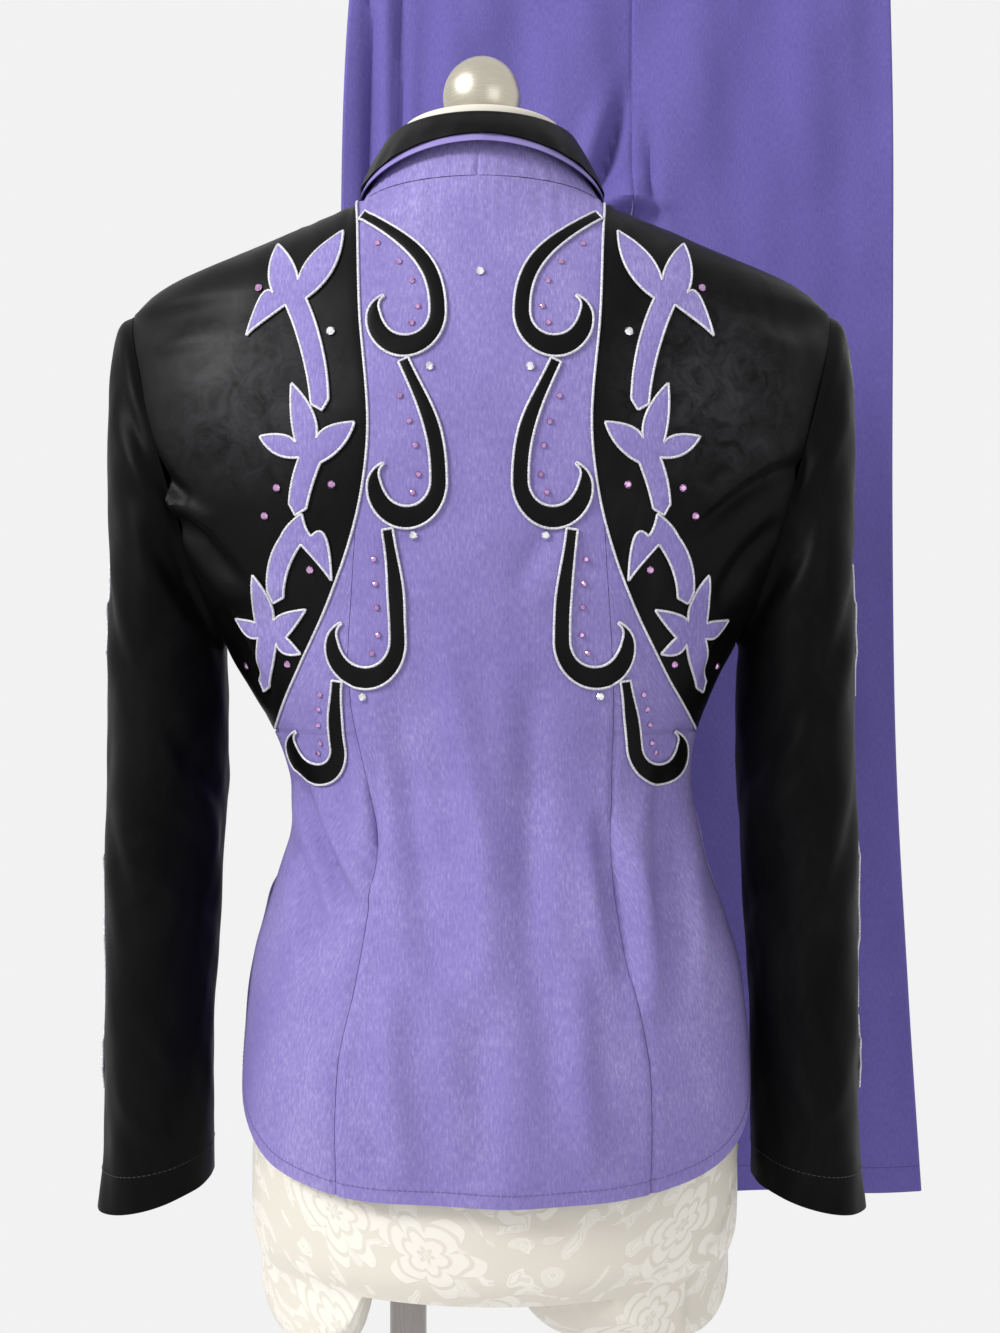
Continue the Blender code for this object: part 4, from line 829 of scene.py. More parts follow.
def jacket_normal(facing, t, z):
    step = 0.002
    t, z = np.broadcast_arrays(np.asarray(t, float), np.asarray(z, float))
    along = jacket(facing, np.minimum(1, t + step), z) - jacket(facing, np.maximum(-1, t - step), z)
    top = np.minimum(z + step, NECK_Z)
    up = jacket(facing, t, top) - jacket(facing, t, top - 2 * step)
    edge = (np.abs(t) > 1 - step) & (z > ARMPIT[1])
    sign = np.where(t < 0, -1.0, 1.0)
    short = (jacket(facing, sign, z) - jacket(facing, sign * (1 - step), z)) * sign[..., None]
    along = np.where(edge[..., None], short, along)
    return unit(np.cross(along, up) * -facing)


def t_at(facing, x, z):
    x_end, _, _, turn = section(facing, z)
    return np.clip(np.arcsin(np.clip(x / x_end * np.sin(turn), -1, 1)) / turn, -1, 1)


def fitted(height, t):
    """Heights below HEM_TOP are drawn down or up to the curved hem."""
    hem = column(HEM, "z", np.abs(t), "t")
    share = (height - HEM_NOMINAL) / (HEM_TOP - HEM_NOMINAL)
    return np.where(height >= HEM_TOP, height, mix(hem, HEM_TOP, share))


def seam_t(facing, x_of, height):
    """t along a seam whose x is given for each height."""
    t = np.full(np.shape(height), 0.5)
    for _ in range(8):
        z = fitted(height, t)
        t = t_at(facing, x_of(z), z)
    return t


def yoke_x(z):
    return column(YOKE_LINE, "x", z)


def centre_back_x(z):
    return np.where(z >= PRINCESS[-1]["z"], yoke_x(z), column(PRINCESS, "x", z))


def neckline_x(z):
    down = np.clip((NECK_Z - z) / NECK_DROP, None, 1.0)
    return np.maximum(SEAM, NECK_HALF * np.sqrt(np.maximum(0.0, 1 - down * down)))


def on_form(z):
    """1 where the cloth rests on the form's shoulders, so that it isn't pressed in there."""
    return smooth((z - 1.28) / 0.06)


def relief(facing, x, z):
    """Height of the cloth's creases and seams over the plain surface; x is from the centre."""
    h = creased(BACK_CREASES if facing < 0 else FRONT_CREASES, x, z) * CREASE_DEPTH
    h = h + rumple(x, z, RUMPLE, 0.0 if facing < 0 else 2.6)
    skirt = smooth((0.97 - z) / 0.14)
    flare = np.sin(x * 46 + (0.7 if facing < 0 else 2.1)) + 0.6 * np.sin(x * 83 + 1.3)
    h = h + FLARE * flare * skirt
    h = mix(h, np.maximum(h, 0) * 0.4, on_form(z))
    if facing < 0:
        below = NECK_Z - z
        pucker = np.sin(x * 640 + 3 * np.sin(x * 90)) * (0.6 + 0.4 * np.sin(x * 150 + 1))
        h = h + PUCKER * pucker * smooth(below / 0.004) * hill(below - 0.010, 0.024)
        seam = np.abs(np.abs(x) - column(PRINCESS, "x", z))
        sewn = SEAM_SWELL * hill(seam - 0.0045, 0.003) - SEAM_SINK * hill(seam, 0.0016)
        h = h + sewn * smooth((1.10 - z) / 0.02)
    edge = np.abs(np.abs(x) - yoke_x(z))
    return h - YOKE_SINK * hill(edge, 0.0020) * smooth((z - 1.05) / 0.02)


def surface(facing, t, z, height=0.0):
    """Points of the creased cloth, raised by height."""
    base = jacket(facing, t, z)
    x = base[..., 0] - sway(z)
    return base + jacket_normal(facing, t, z) * (relief(facing, x, base[..., 2]) + height)[..., None]


def over_back(x, z, height):
    x, z = np.asarray(x, float), np.asarray(z, float)
    return surface(-1, t_at(-1, x, z), z, height)


# Meshes

def add_mesh(name, points, faces, finish, uv=None, sharp=50):
    """A closed mesh, faces outward. Edges over the angle sharp stay hard, and 0 keeps all of it flat."""
    mesh = bpy.data.meshes.new(name)
    mesh.from_pydata(np.asarray(points, float).reshape(-1, 3).tolist(), [], faces)
    if uv is not None:
        layer = mesh.uv_layers.new(name="grain")
        corner = np.zeros(len(mesh.loops), np.int32)
        mesh.loops.foreach_get("vertex_index", corner)
        layer.data.foreach_set("uv", np.asarray(uv, np.float32)[corner].ravel())
    bm = bmesh.new()
    bm.from_mesh(mesh)
    bmesh.ops.recalc_face_normals(bm, faces=bm.faces)
    if bm.calc_volume(signed=True) < 0:
        bmesh.ops.reverse_faces(bm, faces=bm.faces)
    bm.to_mesh(mesh)
    bm.free()
    mesh.materials.append(MADE[finish])
    if sharp:
        mesh.shade_smooth()
        mesh.set_sharp_from_angle(angle=math.radians(sharp))
    made = bpy.data.objects.new(name, mesh)
    bpy.context.scene.collection.objects.link(made)
    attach(made, "root")
    return made


def quads(index):
    """Faces between the neighbours in a grid of point numbers."""
    corners = [index[:-1, :-1], index[:-1, 1:], index[1:, 1:], index[1:, :-1]]
    return np.stack(corners, axis=-1).reshape(-1, 4).tolist()


def cloth(name, outer, inner, finish, closed=False, node=True):
    """A thin shell from two grids of points, in place of its solid if it has one."""
    rows, columns = outer.shape[:2]
    half = rows * columns
    grid = np.arange(half).reshape(rows, columns)
    ring = np.concatenate([grid, grid[:, :1]], axis=1) if closed else grid
    faces = quads(ring) + [face[::-1] for face in quads(ring + half)]
    edges = [(ring[0], True), (ring[-1], False)]
    if not closed:
        edges += [(grid[:, 0], False), (grid[:, -1], True)]
    for line, flip in edges:
        for p, q in zip(line[:-1].tolist(), line[1:].tolist()):
            faces.append([p, p + half, q + half, q] if flip else [p, q, q + half, p + half])
    along = np.zeros((rows, columns))
    along[:, 1:] = np.cumsum(np.linalg.norm(np.diff(outer, axis=1), axis=2), axis=1)
    along -= along[:, columns // 2][:, None]
    uv = np.stack([along, outer[..., 2]], axis=-1).reshape(-1, 2)
    points = np.concatenate([outer.reshape(-1, 3), inner.reshape(-1, 3)])
    made = add_mesh(name, points, faces, finish, np.concatenate([uv, uv]) if node else None)
    if node:
        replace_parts(made, name)


def rows_between(low, high, step):
    return np.linspace(low, high, max(2, round((high - low) / step) + 1))


def spread(columns, edge=0.35):
    """Shares from 0 to 1, closer together near both ends."""
    u = np.linspace(0, 1, columns)
    return mix(u, smooth(u), edge)


def hem_thickness(z, t):
    """The cloth is double where it is turned up at the hem."""
    over = z - column(HEM, "z", np.abs(t), "t")
    return CLOTH * (1 + 0.7 * smooth((0.011 - over) / 0.003))


def armhole_inward(point):
    """The way from a point of the armhole's rim toward its middle."""
    side = np.where(point[..., 0] < 0, -1.0, 1.0)
    zero = np.zeros_like(side)
    (tip_x, tip_z), (pit_x, pit_z) = SHOULDER_TIP, ARMPIT
    middle = stack(side * (tip_x + pit_x) / 2, zero, (tip_z + pit_z) / 2)
    long_way = stack(side * (tip_x - pit_x), zero, tip_z - pit_z)
    half = np.linalg.norm(long_way, axis=-1) / 2
    way = unit(long_way)
    away = point - middle
    u = (away * way).sum(-1) / half
    v = away[..., 1] / ARMHOLE_HALF_DEPTH
    gradient = way * (u / half)[..., None] + stack(zero, v / ARMHOLE_HALF_DEPTH, zero)
    return -unit(gradient)


def panel(name, facing, side, heights, t_in, t_out, columns, finish, on_armhole=False):
    """A panel between two seams, with its creases."""
    gap = SEAM / np.maximum(column(BODY, "half_width", heights), 0.05)
    a, b = t_in(heights) + gap, t_out(heights) - gap
    u = spread(columns)
    t = mix(a[:, None], b[:, None], u[None, :])
    z = fitted(heights[:, None], t)
    t = side * t
    outer = surface(facing, t, z)
    direction = -jacket_normal(facing, t, z)
    if on_armhole:
        rim = (z > ARMPIT[1] - 0.001) & (z < SHOULDER_TIP[1] + 0.001)
        blend = np.where(rim, smooth((u[None, :] - 0.9) / 0.1), 0)[..., None]
        direction = unit(direction * (1 - blend) + armhole_inward(outer) * blend)
    inner = outer + direction * hem_thickness(z, t)[..., None]
    cloth(name, outer, inner, finish)


def jacket_panels():
    foot, top = YOKE_LINE[0]["z"], NECK_Z - SEAM
    heights = rows_between(HEM_NOMINAL, top, PANEL_STEP)
    limit = seam_t(-1, centre_back_x, heights) - SEAM * 6
    t = (spread(76, 0.2)[None, :] * 2 - 1) * limit[:, None]
    z = fitted(heights[:, None], t)
    outer = surface(-1, t, z)
    inner = outer - jacket_normal(-1, t, z) * hem_thickness(z, t)[..., None]
    cloth("back_centre", outer, inner, "lavender")

    def front_yoke_x(z):
        return np.maximum(yoke_x(z), np.where(z > NECK_Z - NECK_DROP, neckline_x(z), 0.0))

    def along(facing, x_of):
        return lambda h: seam_t(facing, x_of, h)

    def side_seam(h):
        return np.ones(np.shape(h))

    def below_yoke(facing, x_of):
        return lambda h: np.where(h >= foot, seam_t(facing, x_of, np.maximum(h, foot)), 1.0)

    def front_edge(h):
        return t_at(1, np.where(h > NECK_Z - NECK_DROP, neckline_x(h), 0.0), h)

    side_rows = rows_between(HEM_NOMINAL, PRINCESS[-1]["z"] - 0.002, PANEL_STEP)
    yoke_rows = rows_between(foot, top, YOKE_STEP)
    front_rows = rows_between(HEM_NOMINAL, NECK_Z - NECK_DROP * 0.40, PANEL_STEP)
    back_side = (side_rows, along(-1, centre_back_x), below_yoke(-1, yoke_x), 26, "lavender")
    back_yoke = (yoke_rows, along(-1, yoke_x), side_seam, 48, "black", True)
    front = (front_rows, front_edge, below_yoke(1, front_yoke_x), 44, "lavender")
    front_yoke = (yoke_rows, along(1, front_yoke_x), side_seam, 44, "black", True)
    for side, word in SIDES:
        panel("back_side_" + word, -1, side, *back_side)
        panel("back_yoke_" + word, -1, side, *back_yoke)
        panel("front_" + word, 1, side, *front)
        panel("front_yoke_" + word, 1, side, *front_yoke)


# Collar

def collar_base(a):
    """Foot of the collar; a is the angle round the neck from the centre back."""
    x = NECK_HALF * np.sin(a)
    in_front = np.abs(a) > QUARTER
    z = NECK_Z + NECK_DROP * np.minimum(0.0, np.cos(a))
    clear = mix(SEAM * 3, 0.0016, np.clip((np.abs(a) - QUARTER) / 0.15, 0, 1))
    y = np.where(in_front, jacket(1, t_at(1, x, z), z)[..., 1], -BODY[-1]["back"] * np.cos(a))
    return stack(x, y, z + np.where(in_front, clear, SEAM * 3))


def collar_stand(a, h):
    """The stand: h runs from 0 at its foot to 1 at its upper edge."""
    front = smooth((np.abs(a) - QUARTER) / QUARTER)
    low = collar_base(a)
    top_x = STAND_TOP[0] * np.sin(a)
    top_y = np.where(np.abs(a) <= QUARTER, -STAND_TOP[1] * np.cos(a), low[..., 1] * 0.93)
    top_z = low[..., 2] + mix(*STAND_RISE, front)
    return stack(mix(low[..., 0], top_x, h), mix(low[..., 1], top_y, h), mix(low[..., 2], top_z, h))


def collar_outward(a):
    step = 0.02
    along = collar_stand(a + step, 0.5) - collar_stand(a - step, 0.5)
    return unit(stack(along[..., 1], -along[..., 0], 0 * along[..., 0]))


def fall_edge(a):
    """Lower edge of the fall: near the neck behind, and down on the chest in front."""
    out = collar_outward(a)
    around = collar_base(a) + out * mix(0.004, 0.0012, np.abs(np.sin(a)))[..., None]
    around[..., 2] = mix(*FALL_Z, np.sin(a) ** 2)
    front = smooth((np.abs(a) - math.radians(80)) / math.radians(45))
    far = np.maximum(0.0, np.abs(a) - QUARTER)
    x = NECK_HALF * np.sin(a) * mix(1.0, 1.25, far) + np.sign(a) * 0.016 * far
    z = NECK_Z + NECK_DROP * np.cos(a) - mix(0.010, 0.050, smooth(far / math.radians(70)))
    z = np.minimum(z, NECK_Z - 0.004)
    t = t_at(1, x, z)
    chest = jacket(1, t, z) + jacket_normal(1, t, z) * FALL_ON_CHEST
    return np.where((front > 0)[..., None], mix(around, chest, front[..., None]), around)


def fall_point(a, k):
    """The fall: k runs from 0 over the fold to FALL_ENDS at the lower edge."""
    top, out = collar_stand(a, 1.0), collar_outward(a)
    fold = [top + out * row["out"] + np.array([0, 0, row["up"]]) for row in FOLD]
    ks = [row["k"] for row in FOLD]
    if k < ks[-1]:
        i = max(i for i in range(len(ks)) if ks[i] <= k)
        return mix(fold[i], fold[i + 1], (k - ks[i]) / (ks[i + 1] - ks[i]))
    u = (k - ks[-1]) / (FALL_ENDS - ks[-1])
    return mix(fold[-1], fall_edge(a), u) + out * 0.0012 * math.sin(math.pi * u)


def sheet_normals(grid):
    across = np.gradient(grid, axis=1)
    down = np.gradient(grid, axis=0)
    return unit(np.cross(down, across))


def collar():
    reach = math.acos(-0.97)
    a = np.linspace(-reach, reach, 241)
    rows = []
    for share in np.linspace(0, 1, 17):
        row = collar_stand(a, share)
        pucker = np.sin(a * 52 + 2.5 * np.sin(a * 7)) * (0.7 + 0.3 * np.sin(a * 13 + 1))
        height = STAND_PUCKER * pucker * hill(share - 0.12, 0.16) - 0.0010 * hill(a + 0.02, 0.012)
        rows.append(row + collar_outward(a) * height[:, None])
    outer = np.array(rows)
    inner = outer - collar_outward(a)[None] * CLOTH
    cloth("collar_stand", outer, inner, "lavender")
    ks = [0, 0.3, 0.6, 0.8, 1.0, 1.25, 1.5, 1.75, 2.0, *(2 + 3 * i / 12 for i in range(1, 13))]
    outer = np.array([fall_point(a, k) for k in ks])
    ripple = 0.0004 * np.sin(a * 9 + 1) + 0.0003 * np.sin(a * 23)
    lift = np.array([smooth((k - 2) / 3) for k in ks])
    outer = outer + collar_outward(a)[None] * (lift[:, None] * ripple[None, :])[..., None]
    inner = outer - sheet_normals(outer) * CLOTH
    cloth("collar_fall", outer, inner, "black")
    edge, before = fall_point(a, FALL_ENDS), fall_point(a, FALL_ENDS - 0.4)
    way, out = unit(edge - before), collar_outward(a)
    outer = np.array([edge + way * row["across"] + out * row["out"] for row in COLLAR_EDGE])
    inner = outer - out[None] * 0.0009
    cloth("collar_edge", outer, inner, "lavender", node=False)


# Sleeves

LAST = len(SLEEVE) - 1


def sleeve_plain(side, turn, v):
    """The plain sleeve: turn runs round the arm from the outside, v down the rows of SLEEVE."""
    ox, oz, ix, iz, depth = (
        column(SLEEVE, c, v, "v") for c in ("outer_x", "outer_z", "inner_x", "inner_z", "half_depth")
    )
    c, s = np.cos(turn), np.sin(turn)
    x = (ox + ix) / 2 + (ox - ix) / 2 * c
    z = (oz + iz) / 2 + (oz - iz) / 2 * c
    return stack(side * x, -depth * s, z)


def sleeve_normal(side, turn, v):
    step = 0.02
    around = sleeve_plain(side, turn + step, v) - sleeve_plain(side, turn - step, v)
    above, below = np.maximum(v - step, 0), np.minimum(v + step, LAST)
    down = sleeve_plain(side, turn, below) - sleeve_plain(side, turn, above)
    normal = unit(np.cross(around, down))
    middle = (sleeve_plain(side, 0 * turn, v) + sleeve_plain(side, 0 * turn + math.pi, v)) / 2
    away = ((sleeve_plain(side, turn, v) - middle) * normal).sum(-1, keepdims=True)
    return np.where(away > 0, normal, -normal)


def sleeve_relief(side, turn, v):
    place = sleeve_plain(side, turn, v)
    quarter = np.mod(turn / QUARTER, 4)
    z = place[..., 2] + (0.006 if side < 0 else 0.0)
    length = 0.1  # metres of cloth to a quarter turn
    rows = [dict(r, q0=r["q0"] * length, q1=r["q1"] * length) for r in SLEEVE_CREASES]
    h = creased(rows, quarter * length, z, ("q0", "z0", "q1", "z1"))
    h = h + rumple(np.sin(turn) * 0.12 + side * 0.3, z, RUMPLE, 1.0 + side)
    h = h * smooth(v / 1.2)
    from_outside = np.abs(np.mod(turn + math.pi, 2 * math.pi) - math.pi)
    return h + SLEEVE_ROLL * hill(v - 0.55, 0.5) * smooth(1.9 - from_outside)


def sleeve_surface(side, turn, v, height=0.0):
    turn, v = np.broadcast_arrays(np.asarray(turn, float), np.asarray(v, float))
    h = sleeve_relief(side, turn, v) + height
    return sleeve_plain(side, turn, v) + sleeve_normal(side, turn, v) * h[..., None]


def sleeves():
    v = np.concatenate([np.linspace(0, 2, 26), np.linspace(2, LAST, 126)[1:]])[:, None]
    turn = np.linspace(0, 2 * math.pi, 85)[None, :-1]
    blend = smooth(1 - v / 0.5)[..., None]
    thick = CLOTH * (1 + 0.8 * smooth((v - (LAST - 0.95)) / 0.1))[..., None]
    for side, word in SIDES:
        outer = sleeve_surface(side, turn, v)
        inward = -sleeve_normal(side, *np.broadcast_arrays(turn, v))
        inner = outer + unit(inward * (1 - blend) + armhole_inward(outer) * blend) * thick
        cloth("sleeve_" + word, outer, inner, "black_sleeve", closed=True)


# Appliques, cords, stones and stitches

def outline(rows, step):
    """Closed outline through a table's points, with a smooth curve past those that aren't corners."""
    points = [Vector((row["x"], row["z"])) for row in rows]
    count = len(points)
    result = []
    for i, row in enumerate(rows):
        a, b = points[i], points[(i + 1) % count]
        after = rows[(i + 1) % count]
        leave = (b - a) if row["corner"] else (b - points[i - 1]) / 2
        arrive = (b - a) if after["corner"] else (points[(i + 2) % count] - a) / 2
        pieces = max(1, round((b - a).length / step))
        for k in range(pieces):
            u = k / pieces
            result.append(
                a * (1 - u) ** 2 * (1 + 2 * u) + b * u * u * (3 - 2 * u)
                + leave * u * (1 - u) ** 2 - arrive * u * u * (1 - u)
            )
    return result


def sprig_outline(sprig, step):
    """Closed outline of a sprig: up one side of the stem, round its petals and down the other side."""
    foot = Vector((sprig["foot_x"], sprig["foot_z"]))
    crown = Vector((sprig["crown_x"], sprig["crown_z"]))
    up = (crown - foot).normalized()
    across = Vector((up.y, -up.x))
    points = []

    def toward(degrees, length):
        a = math.radians(degrees)
        return crown + (up * math.cos(a) + across * math.sin(a)) * length

    def curve(a, control, b):
        pieces = max(2, round((b - a).length / step))
        for k in range(pieces):
            u = k / pieces
            points.append(a * (1 - u) ** 2 + control * 2 * u * (1 - u) + b * u * u)

    petals = [p for p in PETALS if p["sprig"] == sprig["name"]]
    turns = [p["turn"] for p in petals]
    parts = [(a - b) * PETAL_PART for a, b in zip(turns, turns[1:])]
    spreads = [min(PETAL_SPREAD, part) for part in [PETAL_SPREAD, *parts, PETAL_SPREAD]]
    roots = [toward((a + b) / 2, NOTCH) for a, b in zip(turns, turns[1:])]
    roots = [crown + across * STEM_HALF, *roots, crown - across * STEM_HALF]
    waist = (foot + crown) / 2 + across * sprig["bow"]
    curve(foot + across * FOOT_HALF, waist + across * STEM_HALF, roots[0])
    for petal, a, b, first, second in zip(petals, roots, roots[1:], spreads, spreads[1:]):
        tip = toward(petal["turn"], petal["length"])
        belly, reach = petal["turn"] - petal["curl"], petal["length"] * petal["reach"]
        curve(a, toward(belly + first, reach), tip)
        curve(tip, toward(belly - second, reach), b)
    curve(roots[-1], waist - across * STEM_HALF, foot - across * FOOT_HALF)
    points.append(foot - across * FOOT_HALF)
    points.append(foot - up * FOOT_HALF)
    return points


def without_loops(points):
    """An outline whose small loops are cut off where it crosses itself."""
    kept = list(points)
    for i in range(len(kept)):
        for j in range(i + 2, min(i + LOOP_REACH, len(kept) - 1)):
            crossing = intersect_line_line_2d(kept[i], kept[i + 1], kept[j], kept[j + 1])
            if crossing is not None:
                kept[i + 1:j + 1] = [crossing]
                break
    return kept


def from_edge(points, ring):
    """Distance of each point from a closed outline, and whether the point lies inside it."""
    a, b, p = ring, np.roll(ring, -1, axis=0), points[:, None]
    edge = b - a
    u = ((p - a) * edge).sum(-1) / np.maximum((edge**2).sum(-1), 1e-15)
    near = a + np.clip(u, 0, 1)[..., None] * edge
    crosses = (a[:, 1] > p[..., 1]) != (b[:, 1] > p[..., 1])
    with np.errstate(divide="ignore", invalid="ignore"):
        at = a[:, 0] + edge[:, 0] * (p[..., 1] - a[:, 1]) / edge[:, 1]
    inside = (crosses & (p[..., 0] < at)).sum(axis=1) % 2 == 1
    return np.linalg.norm(p - near, axis=-1).min(axis=1), inside


def flat_mesh(border, spacing):
    """Triangles inside a closed outline, each point with its distance from the edge."""
    ring = np.array([tuple(p) for p in border])
    low, high = ring.min(axis=0), ring.max(axis=0)
    xs = np.arange(low[0] + spacing / 2, high[0], spacing)
    zs = np.arange(low[1] + spacing / 2, high[1], spacing * 0.87)
    grid = np.array([(x + (spacing / 2 if i % 2 else 0), z) for i, z in enumerate(zs) for x in xs])
    away, inside = from_edge(grid, ring)
    grid = grid[inside & (away > spacing * 0.45)]
    count = len(ring)
    points = [Vector(q) for q in ring.tolist() + grid.tolist()]
    edges = [(i, (i + 1) % count) for i in range(count)]
    points, _, faces, *_ = delaunay_2d_cdt(points, edges, [], 1, 1e-7)
    flat = np.array([tuple(q) for q in points])
    return flat, faces, from_edge(flat, ring)[0]


def smallest_box(points):
    """Width and length of the smallest rectangle that a flat piece can be cut from."""
    turns = np.radians(np.arange(0, 90, 0.5))[:, None]
    across = points[:, 0] * np.cos(turns) + points[:, 1] * np.sin(turns)
    along = points[:, 1] * np.cos(turns) - points[:, 0] * np.sin(turns)
    sizes = np.stack([np.ptp(across, axis=1), np.ptp(along, axis=1)], axis=1)
    return tuple(sorted(float(v) for v in sizes[sizes.prod(axis=1).argmin()]))


def applique(name, border, place, finish):
    """Padded cloth cut-out, rounded down to its edge, in place of its solid."""
    flat, triangles, depth = flat_mesh(border, APPLIQUE_GRID)
    crown = APPLIQUE * (0.45 + 0.55 * np.sqrt(np.clip(depth / APPLIQUE_GRID, 0, 1)))
    top = place(flat[:, 0], flat[:, 1], LIFT + crown)
    low = place(flat[:, 0], flat[:, 1], LIFT - 0.0005)
    count = len(flat)
    faces = [list(f) for f in triangles] + [[i + count for i in reversed(f)] for f in triangles]
    used = {(f[i], f[(i + 1) % 3]) for f in triangles for i in range(3)}
    faces += [[p, p + count, q + count, q] for p, q in sorted(used) if (q, p) not in used]
    made = add_mesh(name, np.concatenate([top, low]), faces, finish, np.concatenate([flat, flat]), 60)
    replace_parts(made, name)
    first, second, third = flat[np.array([list(f) for f in triangles])].transpose(1, 0, 2)
    smallest_box(flat)


def scroll_centre(row, u):
    """Point of a scroll's centre line: stem, half loop, then the hook up to the tip."""
    start = Vector((row["top_x"], row["top_z"]))
    middle = start + Vector((row["swing"], -row["drop"]))
    wide, high = row["radius"], row["radius"] * SCROLL_OVAL
    belly, heel = middle - Vector((wide, 0)), middle + Vector((wide, 0))
    if u < 0.45:
        k = u / 0.45
        reach = (start - belly).length * 0.42
        lean = math.atan2(start.x - belly.x, row["drop"]) * SCROLL_LEAN
        first = start + Vector((-math.sin(lean), -math.cos(lean))) * reach
        second = belly + Vector((0, reach))
        near = start * (1 - k) ** 3 + first * 3 * k * (1 - k) ** 2
        return near + second * 3 * k * k * (1 - k) + belly * k**3
    if u < 0.85:
        a = math.pi * (1 + (u - 0.45) / 0.4)
        return middle + Vector((wide * math.cos(a), high * math.sin(a)))
    k = (u - 0.85) / 0.15
    tip = middle + Vector((wide * SCROLL_TIP[0], high * SCROLL_TIP[1]))
    control = heel + Vector((0, (tip.y - heel.y) * 0.7))
    return heel * (1 - k) ** 2 + control * 2 * k * (1 - k) + tip * k * k


def scroll_half_width(u):
    grow = float(smooth(u / 0.30))
    belly = SCROLL_BELLY * math.exp(-(((u - 0.66) / 0.13) ** 2))
    taper = 1 - float(smooth((u - 0.78) / 0.22)) * 0.86
    return (mix(SCROLL_TOP_HALF, SCROLL_HALF_WIDTH, grow) + belly) * taper


def scroll_across(row, u):
    """The way across a scroll's centre line, to the side of its stones."""
    along = scroll_centre(row, min(1, u + 0.01)) - scroll_centre(row, max(0, u - 0.01))
    return Vector((-along.y, along.x)).normalized()


def scroll_outline(row):
    left, right = [], []
    for i in range(SCROLL_STEPS + 1):
        u = i / SCROLL_STEPS
        centre, across = scroll_centre(row, u), scroll_across(row, u) * scroll_half_width(u)
        left.append(centre + across)
        right.append(centre - across)
    return left + right[::-1]


def resampled(path, step, closed):
    """Points at even steps along a path of 3-D points."""
    path = np.asarray(path)
    if closed:
        path = np.concatenate([path, path[:1]])
    gaps = np.linalg.norm(np.diff(path, axis=0), axis=1)
    keep = np.concatenate([[True], gaps > 1e-7])
    path = path[keep]
    run = np.concatenate([[0], np.cumsum(np.linalg.norm(np.diff(path, axis=0), axis=1))])
    count = max(4, round(run[-1] / step))
    at = np.linspace(0, run[-1], count + 1)
    if closed:
        at = at[:-1]
    return np.stack([np.interp(at, run, path[:, i]) for i in range(3)], axis=1)


def cords(name, paths):
    """Twisted white cords along paths, each either closed or open; joined in one piece."""
    points, faces = [], []
    base = 0
    turn = np.linspace(0, 2 * math.pi, CORD_SIDES + 1)[:-1]
    for path, closed in paths:
        line = resampled(path, CORD_STEP, closed)
        count = len(line)
        if closed:
            along = unit(np.roll(line, -1, axis=0) - np.roll(line, 1, axis=0))
        else:
            along = unit(np.gradient(line, axis=0))
        side = unit(np.cross(along, np.array([0.31, -0.87, 0.38])))
        up = np.cross(side, along)
        twisted = np.arange(count) * CORD_STEP * 2 * math.pi / TWIST_LENGTH
        reach = CORD_RADIUS * (1 + CORD_TWIST * np.cos(2 * (turn[None, :] - twisted[:, None])))
        ring = (
            line[:, None]
            + (np.cos(turn)[None, :] * reach)[..., None] * side[:, None]
            + (np.sin(turn)[None, :] * reach)[..., None] * up[:, None]
        )
        points.append(ring.reshape(-1, 3))
        grid = base + np.arange(count * CORD_SIDES).reshape(count, CORD_SIDES)
        if closed:
            grid = np.concatenate([grid, grid[:1]])
        else:
            faces += [grid[0][::-1].tolist(), grid[-1].tolist()]
        faces += quads(np.concatenate([grid, grid[:, :1]], axis=1))
        base += count * CORD_SIDES
    add_mesh(name, np.concatenate(points), faces, "cord", sharp=80)


def mirrored(border, side):
    points = [Vector((side * p.x, p.y)) for p in border]
    return points if side > 0 else points[::-1]


def trimmed(name, border, place, finish):
    """Lays an applique and gives the path of the cord round it."""
    applique(name, border, place, finish)
    ring = np.array([tuple(p) for p in border])
    return place(ring[:, 0], ring[:, 1], CORD_LIFT), True


def appliques():
    for side, word in SIDES:
        paths = []
        for number, row in enumerate(SCROLLS, 1):
            border = mirrored(scroll_outline(row), side)
            paths.append(trimmed(f"scroll_{word}_{number}", border, over_back, "black"))
        cords("scroll_cords_" + word, paths)
        paths = []
        for sprig in SPRIGS:
            border = mirrored(without_loops(sprig_outline(sprig, SPRIG_STEP)), side)
            name = f"leaf_{sprig['name']}_{word}"
            paths.append(trimmed(name, border, over_back, "lavender"))
        z = np.linspace(YOKE_LINE[0]["z"] + 0.001, NECK_Z - 0.004, 140)
        paths.append((over_back(side * yoke_x(z), z, np.full(len(z), 0.0008)), False))
        cords("leaf_cords_" + word, paths)


def sleeve_appliques():
    rows_v = np.linspace(0, LAST, 400)
    for side, word in SIDES:
        rows_z = sleeve_plain(side, np.zeros(len(rows_v)), rows_v)[:, 2]

        def place(x, z, height):
            v = np.interp(-np.asarray(z), -rows_z, rows_v)
            return sleeve_surface(side, np.asarray(x) / SLEEVE_ROUND, v, height)

        paths = []
        for leaf in SLEEVE_LEAVES:
            shape = [dict(row, z=row["share"] * leaf["length"] / 2) for row in SLEEVE_LEAF]
            border = [Vector((p.x, p.y + leaf["z"])) for p in outline(shape, SLEEVE_LEAF_STEP)]
            name = f"sleeve_leaf_{leaf['name']}_{word}"
            paths.append(trimmed(name, border, place, "lavender"))
        cords("sleeve_cords_" + word, paths)


